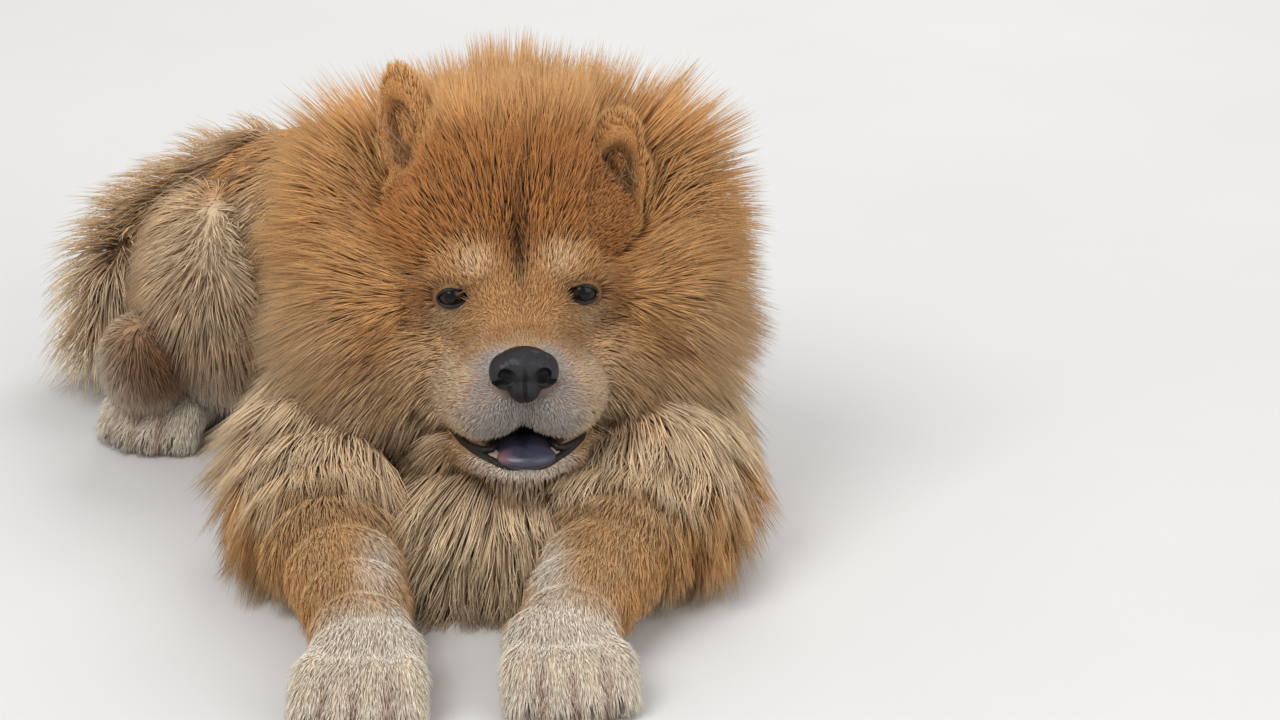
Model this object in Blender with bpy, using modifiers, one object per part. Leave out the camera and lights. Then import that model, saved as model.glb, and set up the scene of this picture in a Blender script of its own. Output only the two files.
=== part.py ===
"""A life-size chow chow lying on its chest with its forelegs stretched out, as a museum model.

Metres, +Z up. The dog faces -Y and its own right side is towards -X. It lies on the plane z = 0, and
the origin is the middle of the flat on which its belly rests. The forms below are written from a
point on the floor between the shoulders, and the whole dog is then set on its origin.
"""

import math
import random

import bmesh
import bpy
from mathutils import Euler, Matrix, Vector
from mathutils.bvhtree import BVHTree

# The belly's resting point, seen from between the shoulders
BELLY = Vector((0.045, 0.090, 0.0))

# Driving dimensions of the head
NOSE_TIP = Vector((0.102, -0.160, 0.164))
HEAD_YAW = math.radians(5)
HEAD_PITCH = math.radians(8)
SKULL_HALF_WIDTH = 0.070
MUZZLE_HALF_WIDTH = 0.046
NOSE_WIDTH = 0.042
NOSE_HEIGHT = 0.034
EYE_PLACE = Vector((0.0395, 0.074, 0.0345))
EYE_RADIUS = 0.0115
EYE_SLIT = (0.0090, 0.0100, 0.0052)
LID_THICKNESS = 0.0034
EAR_WIDTH = 0.048
EAR_LENGTH = 0.072
RUFF_WIDTH = 0.326
RUFF_HEIGHT = 0.322
RUFF_DEPTH = 0.170
RUFF_CENTRE = Vector((0.0, 0.168, 0.011))
RUFF_CORNER = Vector((0.066, -0.008, 0.056))
HEAD_BACK = 0.186
THROAT = -0.076
THROAT_WIDTH = 0.150
RUFF_SLOPE = 0.46

# Driving dimensions of the body and legs
SHOULDER_HALF_WIDTH = 0.098
RIB_HALF_HEIGHT = 0.116
PAW_WIDTH = 0.076
PAW_LENGTH = 0.094
HINDPAW_WIDTH = 0.068

# How far the coat's tips stand off the flesh, and how much of that is a dense core under the locks
COAT_FACE = 0.003
COAT_TRUNK = 0.030
COAT_THIGH = 0.026
COAT_LEG = 0.014
COAT_TAIL = 0.030
COAT_RUFF = 0.036
CORE_SHARE = 0.5

# A lock's cross-sections from its root to near its tip: place along it, width and thickness
LOCK_STEPS = ((0.0, 0.92, 1.0), (0.34, 1.0, 0.95), (0.68, 0.74, 0.70))
LOCK_SINK = 0.007
LOCK_THICKNESS = 0.0075
LOCK_SETBACK = 0.08
LOCK_BEND = 0.45
LOCK_ARCH = 0.9
LOCK_SIZES_FROM = 0.90
LOCK_SIZES_TO = 1.08

# Locks of each kind: length, width, how far the tip stands off the core, and how far it hangs
CHEEK_LOCK = (0.072, 0.044, 0.017, 0.0)
RUFF_LOCK = (0.078, 0.052, 0.029, 0.0)
TRUNK_LOCK = (0.074, 0.050, 0.016, 0.0)
BIB_LOCK = (0.062, 0.036, 0.010, 0.006)
TAIL_LOCK = (0.056, 0.034, 0.011, 0.012)
THIGH_LOCK = (0.062, 0.034, 0.013, 0.006)
LEG_LOCK = (0.052, 0.028, 0.008, 0.004)

# How far off the rays start that find the roots, and how far a root strays from its row, in degrees
RAY_START = 0.5
STRAY = 3.5

# Faces within so many degrees of one plane are merged after a cut
FLAT_ANGLE = 0.2

# The gap that touching pieces keep, at a straight parting and where one is cut to lie on another
GAP = 0.0003
ROOM = 0.0004

HEAD = (
    Matrix.Translation(NOSE_TIP)
    @ Matrix.Rotation(HEAD_YAW, 4, "Z")
    @ Matrix.Rotation(-HEAD_PITCH, 4, "X")
)
SIDES = {"r": -1, "l": 1}
SEED = 11

# Flesh forms: a centre and three radii, with the head's own in the frame of its nose tip
SKULL = [
    ((0.0, 0.140, 0.022), (SKULL_HALF_WIDTH, 0.080, 0.062)),
    ((0.0, 0.100, 0.024), (0.058, 0.046, 0.042)),
    ((0.046, 0.118, -0.010), (0.036, 0.046, 0.040)),
    ((-0.046, 0.118, -0.010), (0.036, 0.046, 0.040)),
    ((0.026, 0.075, 0.050), (0.022, 0.018, 0.014)),
    ((-0.026, 0.075, 0.050), (0.022, 0.018, 0.014)),
    ((0.022, 0.116, 0.078), (0.060, 0.050, 0.050)),
    ((-0.022, 0.116, 0.078), (0.060, 0.050, 0.050)),
    ((0.072, 0.132, 0.006), (0.046, 0.048, 0.066)),
    ((-0.072, 0.132, 0.006), (0.046, 0.048, 0.066)),
]
MUZZLE = [
    ((0.0, 0.058, -0.004), (0.032, 0.048, 0.024)),
    ((0.0, 0.036, 0.000), (0.023, 0.024, 0.017)),
    ((0.021, 0.036, -0.022), (0.024, 0.028, 0.024)),
    ((-0.021, 0.036, -0.022), (0.024, 0.028, 0.024)),
    ((MUZZLE_HALF_WIDTH - 0.018, 0.060, -0.022), (0.022, 0.040, 0.024)),
    ((0.018 - MUZZLE_HALF_WIDTH, 0.060, -0.022), (0.022, 0.040, 0.024)),
]

# Limbs and trunk: stations of x, y, z, half width and half height
TRUNK = [
    (0.080, 0.015, 0.112, SHOULDER_HALF_WIDTH, 0.104),
    (0.070, 0.045, 0.115, SHOULDER_HALF_WIDTH, RIB_HALF_HEIGHT),
    (0.050, 0.080, 0.117, SHOULDER_HALF_WIDTH, 0.112),
    (0.010, 0.150, 0.110, 0.088, 0.103),
    (-0.035, 0.215, 0.102, 0.084, 0.092),
    (-0.062, 0.255, 0.096, 0.078, 0.080),
]
NAPE = [
    (0.086, 0.030, 0.150, 0.080, 0.100),
    (0.070, 0.085, 0.150, 0.084, 0.098),
]
BIB = ((0.092, -0.045, 0.036), (0.092, 0.092, 0.072))
FORELEG = {
    "r": [
        (0.000, -0.010, 0.080, 0.046, 0.056),
        (-0.026, -0.045, 0.062, 0.042, 0.046),
        (-0.020, -0.120, 0.044, 0.038, 0.036),
        (0.002, -0.205, 0.034, 0.029, 0.026),
        (0.006, -0.232, 0.031, 0.027, 0.024),
    ],
    "l": [
        (0.162, -0.015, 0.080, 0.046, 0.056),
        (0.176, -0.055, 0.062, 0.042, 0.046),
        (0.160, -0.125, 0.044, 0.038, 0.036),
        (0.134, -0.200, 0.034, 0.029, 0.026),
        (0.130, -0.220, 0.031, 0.027, 0.024),
    ],
}
FOREPAW = {"r": (0.010, -0.271, math.radians(-3)), "l": (0.127, -0.254, math.radians(8))}
THIGH = {
    "r": [
        (-0.118, 0.150, 0.088, 0.044, 0.052),
        (-0.120, 0.200, 0.092, 0.050, 0.066),
        (-0.105, 0.245, 0.088, 0.046, 0.058),
    ],
    "l": [
        (0.072, 0.185, 0.084, 0.040, 0.048),
        (0.050, 0.240, 0.088, 0.046, 0.062),
        (0.010, 0.275, 0.086, 0.044, 0.054),
    ],
}
SHANK = {
    "r": [(-0.163, 0.124, 0.066, 0.026, 0.030), (-0.160, 0.205, 0.040, 0.024, 0.026)],
    "l": [(0.104, 0.160, 0.060, 0.026, 0.030), (0.100, 0.240, 0.040, 0.024, 0.026)],
}
HINDPAW = {"r": (-0.152, 0.152, math.radians(-24)), "l": (0.112, 0.146, math.radians(14))}
TAIL = [
    (-0.084, 0.300, 0.140, 0.018, 0.018),
    (-0.140, 0.310, 0.118, 0.018, 0.018),
    (-0.180, 0.288, 0.094, 0.017, 0.017),
    (-0.200, 0.246, 0.078, 0.012, 0.012),
    (-0.204, 0.236, 0.044, 0.010, 0.012),
]
EARS = {
    "r": (Vector((-0.066, 0.120, 0.112)), Euler((math.radians(4), math.radians(-9), math.radians(-62)))),
    "l": (Vector((0.063, 0.116, 0.084)), Euler((math.radians(14), math.radians(2), math.radians(8)))),
}

# Rows of locks on a rounded form: angle off the forward axis, first and last turn (0 is the dog's left,
# 90 is up), and how many
CHEEK_ROWS = [
    (54, -45, 22, 4),
    (54, 158, 225, 4),
    (72, -52, 26, 6),
    (72, 154, 232, 6),
    (68, 80, 100, 1),
]
RUFF_ROWS = [(90, -45, 225, 14), (110, -10, 190, 9)]
BIB_ROWS = [(24, 10, 170, 3), (48, -10, 190, 6), (70, 0, 180, 6)]
RUMP_ROWS = [(40, 20, 160, 3), (66, 0, 180, 5)]


def clear_scene():
    """Empties the scene, so that the file can be run again."""
    for obj in list(bpy.data.objects):
        bpy.data.objects.remove(obj)


def collection(name):
    """A new collection in the scene."""
    made = bpy.data.collections.new(name)
    bpy.context.scene.collection.children.link(made)
    return made


def material(name, colour, roughness):
    """A surface in one colour."""
    made = bpy.data.materials.new(name)
    made.use_nodes = True
    shader = made.node_tree.nodes["Principled BSDF"]
    shader.inputs["Base Color"].default_value = (*colour, 1.0)
    shader.inputs["Roughness"].default_value = roughness
    shader.inputs["Metallic"].default_value = 0.0
    made.diffuse_color = (*colour, 1.0)
    return made


def mesh_object(name, mesh, home):
    """An object for a mesh, linked in the collection home."""
    obj = bpy.data.objects.new(name, mesh)
    home.objects.link(obj)
    return obj


def as_cutter(obj):
    """Keeps obj out of the model: it only shapes other pieces."""
    obj.hide_render = True
    obj.display_type = "WIRE"
    return obj


def clear_cutters(kept):
    """Removes the cutters once all cuts are applied, with every collection but the one that is kept."""
    for obj in [obj for obj in bpy.data.objects if obj.hide_render]:
        bpy.data.objects.remove(obj)
    for group in [group for group in bpy.data.collections if group is not kept]:
        bpy.data.collections.remove(group)


def settle(obj):
    """Applies every modifier of obj."""
    bpy.context.view_layer.update()
    graph = bpy.context.evaluated_depsgraph_get()
    mesh = bpy.data.meshes.new_from_object(obj.evaluated_get(graph))
    obj.modifiers.clear()
    obj.data = mesh
    return obj


def triangle_count(mesh):
    mesh.calc_loop_triangles()
    return len(mesh.loop_triangles)


def bodies_of(bm):
    """The separate closed surfaces of bm, the smallest first."""
    left = set(bm.faces)
    bodies = []
    while left:
        front = [left.pop()]
        body = list(front)
        while front:
            for edge in front.pop().edges:
                fresh = [face for face in edge.link_faces if face in left and edge.is_manifold]
                left.difference_update(fresh)
                body += fresh
                front += fresh
        bodies.append(body)
    return sorted(bodies, key=lambda body: sum(face.calc_area() for face in body))


def keep_largest(obj):
    """Keeps only the largest closed surface of obj's mesh."""
    bm = bmesh.new()
    bm.from_mesh(obj.data)
    scraps = [face for body in bodies_of(bm)[:-1] for face in body]
    bmesh.ops.delete(bm, geom=scraps, context="FACES")
    bm.to_mesh(obj.data)
    bm.free()
    return obj


def ball(bm, centre, radii, turn=Euler(), detail=3):
    """Adds an ellipsoid to bm."""
    place = (
        Matrix.Translation(Vector(centre))
        @ turn.to_matrix().to_4x4()
        @ Matrix.Diagonal((*radii, 1.0))
    )
    bmesh.ops.create_icosphere(bm, subdivisions=detail, radius=1.0, matrix=place)


def stations_between(stations, count):
    """So many stations, evenly spread along a line of (x, y, z, half width, half height)."""
    spans = [math.dist(a[:3], b[:3]) for a, b in zip(stations, stations[1:])]
    for i in range(count):
        left = sum(spans) * i / (count - 1)
        for a, b, span in zip(stations, stations[1:], spans):
            if left <= span or b is stations[-1]:
                share = min(1.0, left / span)
                yield [u + (v - u) * share for u, v in zip(a, b)], Vector(b[:3]) - Vector(a[:3])
                break
            left -= span


def limb(bm, stations, coat=0.0, count=16, detail=2):
    """Adds a limb or trunk to bm, as balls that overlap along its stations."""
    for (x, y, z, wide, high), ahead in stations_between(stations, count):
        turn = Euler((0.0, 0.0, math.atan2(ahead.y, ahead.x) - math.pi / 2))
        depth = (wide + high) / 2
        ball(bm, (x, y, z), (wide + coat, depth + coat, high + coat), turn, detail)


def fused(name, bm, home, voxel, rounds, triangles):
    """One smooth closed skin over the overlapping forms in bm, thinned to about so many triangles."""
    mesh = bpy.data.meshes.new(name)
    bm.to_mesh(mesh)
    bm.free()
    obj = mesh_object(name, mesh, home)
    remesh = obj.modifiers.new("skin", "REMESH")
    remesh.mode = "VOXEL"
    remesh.voxel_size = voxel
    smooth = obj.modifiers.new("soften", "SMOOTH")
    smooth.factor = 0.5
    smooth.iterations = rounds
    return thin(settle(obj), triangles / triangle_count(obj.data))


def thin(obj, share):
    """Takes out the edges that matter least to the shape of obj, down to a share of its triangles."""
    tool = obj.modifiers.new("thin", "DECIMATE")
    tool.ratio = min(1.0, share)
    return keep_largest(settle(obj))


def join(obj, pieces):
    """Fuses all objects of the collection pieces into obj, and removes them."""
    cut(obj, pieces, "UNION")
    for piece in list(pieces.objects):
        bpy.data.objects.remove(piece)
    bpy.data.collections.remove(pieces)
    return obj


def merge_flat(obj):
    """Merges the pieces into which crossing forms have cut the flat faces of obj."""
    tool = obj.modifiers.new("merge", "DECIMATE")
    tool.decimate_type = "DISSOLVE"
    tool.angle_limit = math.radians(FLAT_ANGLE)
    return settle(obj)


def cut(obj, cutter, operation="DIFFERENCE"):
    """Cuts obj by an object or a whole collection, or to what both share, and keeps its largest body."""
    tool = obj.modifiers.new("cut", "BOOLEAN")
    tool.operation = operation
    tool.solver = "MANIFOLD"
    if isinstance(cutter, bpy.types.Collection):
        tool.operand_type = "COLLECTION"
        tool.collection = cutter
    else:
        tool.object = cutter
    return merge_flat(keep_largest(settle(obj)))


def swollen(obj, home):
    """A cutter that stands out from obj on all sides by the gap between touching pieces."""
    bm = bmesh.new()
    bm.from_mesh(obj.data)
    bmesh.ops.triangulate(bm, faces=bm.faces)
    bm.normal_update()
    moves = [vert.normal * ROOM * min(vert.calc_shell_factor(), 2.5) for vert in bm.verts]
    for vert, move in zip(bm.verts, moves):
        vert.co += move
    mesh = bpy.data.meshes.new(obj.name + ".room")
    bm.to_mesh(mesh)
    bm.free()
    return as_cutter(mesh_object(mesh.name, mesh, home))


def clear_of(obj, rooms):
    """Cuts obj clear of its neighbours, each given as its swollen copy."""
    for room in rooms:
        cut(obj, room)
    return obj


def lock(root, normal, lie, sizes):
    """A flat tapered lock as a mesh: it leaves the skin at root along lie, rises over it and bends down."""
    length, width, lift, droop = sizes
    start = root - normal * LOCK_SINK - lie * length * LOCK_SETBACK
    middle = root + lie * length * LOCK_BEND + normal * lift * LOCK_ARCH
    tip = root + lie * length + normal * lift - Vector((0.0, 0.0, droop))
    bm = bmesh.new()
    rings = []
    for t, wide, thick in LOCK_STEPS:
        here = start * (1 - t) ** 2 + middle * 2 * t * (1 - t) + tip * t ** 2
        ahead = ((middle - start) * (1 - t) + (tip - middle) * t).normalized()
        side = ahead.cross(normal).normalized()
        edge = side * width * wide / 2
        ridge = side.cross(ahead) * LOCK_THICKNESS * thick
        rings.append([bm.verts.new(point) for point in (here - edge, here + ridge, here + edge)])
    rings.append([bm.verts.new(tip)] * 3)
    bm.faces.new(rings[0])
    for near, far in zip(rings, rings[1:]):
        for i in range(3):
            j = (i + 1) % 3
            corners = (near[j], near[i], far[i], far[j])
            bm.faces.new(corners[:3] if far[i] is far[j] else corners)
    bmesh.ops.triangulate(bm, faces=bm.faces)
    bmesh.ops.recalc_face_normals(bm, faces=bm.faces)
    mesh = bpy.data.meshes.new("lock")
    bm.to_mesh(mesh)
    bm.free()
    return mesh


def rows_round(centre, rows, hang, chance, frame=Matrix()):
    """Rays at a rounded form from in front and around, each with the lie of the hair that grows there."""
    turned = frame.to_3x3()
    for k, (angle, first, last, count) in enumerate(rows):
        for i in range(count):
            share = (i + 0.25 + 0.5 * (k % 2)) / count
            turn = math.radians(first + (last - first) * share + chance.uniform(-STRAY, STRAY))
            out = math.radians(angle + chance.uniform(-STRAY, STRAY))
            spoke = Vector((math.cos(turn), 0.0, math.sin(turn)))
            ray = spoke * math.sin(out) - Vector((0.0, math.cos(out), 0.0))
            lie = spoke * math.cos(out) + Vector((0.0, math.sin(out), -hang))
            yield frame @ (centre + ray * RAY_START), turned @ -ray, turned @ lie


def rows_along(stations, rows, turns, count, hang, chance):
    """Rays at a limb or trunk, row by row along it, each with the lie of the hair that grows there."""
    for k, (station, ahead) in enumerate(stations_between(stations, rows)):
        ahead.normalize()
        side = ahead.cross(Vector((0.0, 0.0, 1.0))).normalized()
        above = side.cross(ahead)
        for i in range(count):
            share = (i + 0.25 + 0.5 * (k % 2)) / count
            turn = math.radians(turns[0] + (turns[1] - turns[0]) * share + chance.uniform(-STRAY, STRAY))
            ray = side * math.cos(turn) + above * math.sin(turn)
            yield Vector(station[:3]) + ray * RAY_START, -ray, ahead - Vector((0.0, 0.0, hang))


def surface(obj):
    """The faces of obj as they are now, to find where hair grows from and what it would be hidden in."""
    bm = bmesh.new()
    bm.from_mesh(obj.data)
    tree = BVHTree.FromBMesh(bm)
    bm.free()
    return tree


def inside(point, form):
    """Whether a point lies inside the closed surface form."""
    nearest, normal, _, _ = form.find_nearest(point)
    return (point - nearest).dot(normal) < 0.0


def grow(obj, rays, sizes, covers, chance):
    """Fuses locks into obj where covers leave it bare, and returns cutters that keep neighbours clear."""
    skin = surface(obj)
    locks = collection(obj.name + ".locks")
    rooms = collection(obj.name + ".lock_rooms")
    for source, aim, lie in rays:
        root, face_normal, _, _ = skin.ray_cast(source, aim)
        if root is None or any(inside(root, cover) for cover in covers):
            continue
        normal = (face_normal - aim).normalized()
        along_skin = (lie - normal * lie.dot(normal)).normalized()
        varied = [size * chance.uniform(LOCK_SIZES_FROM, LOCK_SIZES_TO) for size in sizes]
        piece = mesh_object("lock", lock(root, normal, along_skin, varied), locks)
        swollen(piece, rooms)
    join(obj, locks)
    return rooms


def slab(name, centre, sizes, frame, home):
    """A box-shaped cutter in the given frame."""
    bm = bmesh.new()
    place = frame @ Matrix.Translation(Vector(centre)) @ Matrix.Diagonal((*sizes, 1.0))
    bmesh.ops.create_cube(bm, size=1.0, matrix=place)
    mesh = bpy.data.meshes.new(name)
    bm.to_mesh(mesh)
    bm.free()
    return as_cutter(mesh_object(name, mesh, home))


def prism(name, outline, reach, frame, home):
    """A cutter: an outline in the frame's first two axes, as deep as reach on both sides."""
    curve = bpy.data.curves.new(name, "CURVE")
    curve.dimensions = "2D"
    curve.fill_mode = "BOTH"
    curve.extrude = reach
    spline = curve.splines.new("POLY")
    spline.points.add(len(outline) - 1)
    for point, (a, b) in zip(spline.points, outline):
        point.co = (a, b, 0.0, 1.0)
    spline.use_cyclic_u = True
    flat = mesh_object(name + ".outline", curve, home)
    bpy.context.view_layer.update()
    graph = bpy.context.evaluated_depsgraph_get()
    mesh = bpy.data.meshes.new_from_object(flat.evaluated_get(graph))
    bpy.data.objects.remove(flat)
    bm = bmesh.new()
    bm.from_mesh(mesh)
    bmesh.ops.remove_doubles(bm, verts=bm.verts, dist=0.0001)
    bmesh.ops.recalc_face_normals(bm, faces=bm.faces)
    bmesh.ops.transform(bm, matrix=frame, verts=bm.verts)
    bm.to_mesh(mesh)
    bm.free()
    return as_cutter(mesh_object(name, mesh, home))


def head_region(home, grow=0.0):
    """What belongs to the head: above the throat and in front of its back."""
    half = THROAT_WIDTH / 2
    low = THROAT - grow
    outline = [
        (-1.0, low + (1.0 - half) * RUFF_SLOPE),
        (-half, low),
        (half, low),
        (1.0, low + (1.0 - half) * RUFF_SLOPE),
        (1.0, 2.0),
        (-1.0, 2.0),
    ]
    place = Matrix.Translation((0.0, HEAD_BACK + grow - 1.0, 0.0)) @ Matrix.Rotation(math.pi / 2, 4, "X")
    return prism("head_region", outline, 1.0, HEAD @ place, home)


def neck_region(home, grow=0.0, front=0.0):
    """What belongs to the neck: behind the head and above a plane from the throat to the withers."""
    start = HEAD_BACK + GAP
    low = THROAT - grow * 2.5
    outline = [(start - front, low), (start, low), (start + 0.62, 1.0), (start - front, 1.0)]
    upright = Matrix(((0, 0, 1, 0), (1, 0, 0, 0), (0, 1, 0, 0), (0, 0, 0, 1)))
    return prism("neck_region", outline, 1.0, HEAD @ upright, home)


def floor_cut(obj, cutters):
    """Takes off what lies below the floor, which leaves the flat that obj rests on."""
    below = slab(obj.name + ".floor", (0.0, 0.0, -0.5), (2.0, 2.0, 1.0), Matrix.Identity(4), cutters)
    return cut(obj, below)


def build_head(home):
    """The skull, muzzle and lids, with the core of the ruff that frames the face."""
    face = bmesh.new()
    for centre, radii in SKULL + MUZZLE:
        ball(face, centre, [radius + COAT_FACE for radius in radii])
    for side in SIDES.values():
        ball(face, eye_centre(side), [EYE_RADIUS + LID_THICKNESS] * 3)
    ruff_core(face)
    bmesh.ops.transform(face, matrix=HEAD, verts=face.verts)
    return fused("head", face, home, 0.0032, 3, 1400)


def ruff_core(bm):
    """The dense core of the ring of long hair round the face."""
    tilt = Euler((math.radians(-6), 0.0, 0.0))
    half = Vector((RUFF_WIDTH, RUFF_DEPTH, RUFF_HEIGHT)) / 2
    ball(bm, RUFF_CENTRE, half - Vector((COAT_RUFF, COAT_RUFF / 2, COAT_RUFF)), tilt, 4)
    for side in SIDES.values():
        corner = RUFF_CENTRE + Vector((side * RUFF_CORNER.x, RUFF_CORNER.y, RUFF_CORNER.z))
        ball(bm, corner, (0.062, 0.056, 0.064))


def eye_centre(side):
    """The middle of one eyeball, in the head's frame."""
    return Vector((side * EYE_PLACE.x, EYE_PLACE.y, EYE_PLACE.z))


def eye_slit(side, cutters):
    """A cutter for the almond-shaped opening between one eye's lids."""
    bm = bmesh.new()
    turn = Euler((0.0, side * math.radians(6), side * math.radians(16)))
    ball(bm, eye_centre(side) + Vector((0.0, -EYE_RADIUS, 0.0)), EYE_SLIT, turn)
    bmesh.ops.transform(bm, matrix=HEAD, verts=bm.verts)
    mesh = bpy.data.meshes.new("eye_slit")
    bm.to_mesh(mesh)
    bm.free()
    return as_cutter(mesh_object("eye_slit", mesh, cutters))


def build_jaw(home):
    """The lower jaw with its lip and chin."""
    bm = bmesh.new()
    for side in SIDES.values():
        line = [
            (side * 0.034, 0.085, -0.054, 0.013, 0.014),
            (side * 0.027, 0.045, -0.060, 0.013, 0.012),
            (side * 0.008, 0.018, -0.062, 0.011, 0.010),
        ]
        limb(bm, line, 0.001, 10)
    ball(bm, (0.0, 0.050, -0.068), (0.034, 0.042, 0.012))
    bmesh.ops.transform(bm, matrix=HEAD, verts=bm.verts)
    return fused("jaw", bm, home, 0.0025, 3, 200)


def build_tongue(home):
    """The tongue, which lies on the lower lip and shows between the lips."""
    bm = bmesh.new()
    ball(bm, (0.0, 0.050, -0.052), (0.019, 0.042, 0.007), Euler((math.radians(5), 0.0, 0.0)))
    ball(bm, (0.001, 0.018, -0.0545), (0.018, 0.012, 0.0065), Euler((math.radians(14), 0.0, 0.0)))
    bmesh.ops.transform(bm, matrix=HEAD, verts=bm.verts)
    return fused("tongue", bm, home, 0.0015, 3, 140)


def build_nose(home, cutters):
    """The nose leather with its two nostrils and the groove between them."""
    bm = bmesh.new()
    ball(bm, (0.0, 0.011, 0.003), (NOSE_WIDTH * 0.42, 0.013, NOSE_HEIGHT * 0.36))
    ball(bm, (0.0, 0.010, -0.008), (NOSE_WIDTH * 0.25, 0.010, NOSE_HEIGHT * 0.34))
    for side in SIDES.values():
        ball(bm, (side * NOSE_WIDTH * 0.27, 0.011, 0.000), (NOSE_WIDTH * 0.23, 0.012, NOSE_HEIGHT * 0.33))
    bmesh.ops.transform(bm, matrix=HEAD, verts=bm.verts)
    nose = fused("nose", bm, home, 0.0012, 3, 240)
    for side in SIDES.values():
        hole = bmesh.new()
        curl = Euler((0.0, side * math.radians(38), side * math.radians(-24)))
        ball(hole, (side * 0.0098, -0.001, -0.0015), (0.0036, 0.0085, 0.0052), curl, 2)
        ball(hole, (side * 0.0150, 0.002, -0.0055), (0.0040, 0.0070, 0.0024), curl, 2)
        bmesh.ops.transform(hole, matrix=HEAD, verts=hole.verts)
        cut(nose, as_cutter(fused("nostril", hole, cutters, 0.0009, 1, 60)))
    groove = slab("groove", (0.0, -0.0022, -0.010), (0.0014, 0.0050, 0.022), HEAD, cutters)
    return cut(nose, groove)


def build_eye(side, home):
    """An eyeball, set behind the lids."""
    bm = bmesh.new()
    place = HEAD @ Matrix.Translation(eye_centre(SIDES[side]))
    bmesh.ops.create_uvsphere(bm, u_segments=14, v_segments=8, radius=EYE_RADIUS, matrix=place)
    mesh = bpy.data.meshes.new("eye_" + side)
    bm.to_mesh(mesh)
    bm.free()
    return mesh_object("eye_" + side, mesh, home)


def build_ear(side, home, cutters):
    """An upright ear with a rounded tip, hollow in front."""
    base, turn = EARS[side]
    frame = HEAD @ Matrix.Translation(base) @ turn.to_matrix().to_4x4()
    bm = bmesh.new()
    ball(bm, (0.0, 0.004, 0.008), (EAR_WIDTH / 2, 0.012, EAR_LENGTH * 0.46))
    ball(bm, (0.0, 0.004, 0.032), (EAR_WIDTH * 0.36, 0.009, EAR_LENGTH * 0.34))
    bmesh.ops.transform(bm, matrix=frame, verts=bm.verts)
    ear = fused("ear_" + side, bm, home, 0.0022, 2, 240)
    cup = bmesh.new()
    ball(cup, (0.0, -0.007, 0.014), (EAR_WIDTH * 0.36, 0.0125, EAR_LENGTH * 0.36), detail=2)
    bmesh.ops.transform(cup, matrix=frame, verts=cup.verts)
    return cut(ear, as_cutter(fused("cup", cup, cutters, 0.0025, 1, 90)))


def build_trunk(name, triangles, home):
    """The trunk, nape, bib and ruff in one form: the dense core of their coat."""
    bm = bmesh.new()
    limb(bm, TRUNK, COAT_TRUNK * CORE_SHARE, 12, 3)
    limb(bm, NAPE, COAT_TRUNK * CORE_SHARE, 6, 3)
    ball(bm, BIB[0], [radius - BIB_LOCK[2] for radius in BIB[1]])
    hair = bmesh.new()
    ruff_core(hair)
    bmesh.ops.transform(hair, matrix=HEAD, verts=hair.verts)
    mesh = bpy.data.meshes.new("ruff")
    hair.to_mesh(mesh)
    hair.free()
    bm.from_mesh(mesh)
    return fused(name, bm, home, 0.006, 8, triangles)


def build_limb(name, stations, coat, triangles, home):
    """A leg's or the tail's smooth form, out to the core of its coat."""
    bm = bmesh.new()
    limb(bm, stations, coat * CORE_SHARE, 18)
    return fused(name, bm, home, 0.0045, 6, triangles)


def build_paw(name, place, width, home):
    """Four toes with their knuckles, and the instep behind them."""
    x, y, turn = place
    bm = bmesh.new()
    ball(bm, (0.0, 0.020, 0.026), (width * 0.44, 0.030, 0.026))
    for i in range(4):
        share = (i - 1.5) / 1.5
        front = -PAW_LENGTH * (0.36 - 0.09 * share * share)
        toe = [
            (share * width * 0.26, 0.010, 0.026, 0.013, 0.014),
            (share * width * 0.34, front * 0.5, 0.027, 0.0125, 0.014),
            (share * width * 0.36, front, 0.014, 0.0115, 0.013),
        ]
        limb(bm, toe, 0.002, 7)
    frame = Matrix.Translation((x, y, 0.0)) @ Matrix.Rotation(turn, 4, "Z")
    bmesh.ops.transform(bm, matrix=frame, verts=bm.verts)
    return fused(name, bm, home, 0.0028, 2, 280)


def finish(obj, look):
    """Gives obj its colour and smooth shading."""
    obj.data.materials.clear()
    obj.data.materials.append(look)
    obj.data.shade_smooth()
    obj.data.set_sharp_from_angle(angle=math.radians(50))


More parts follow.
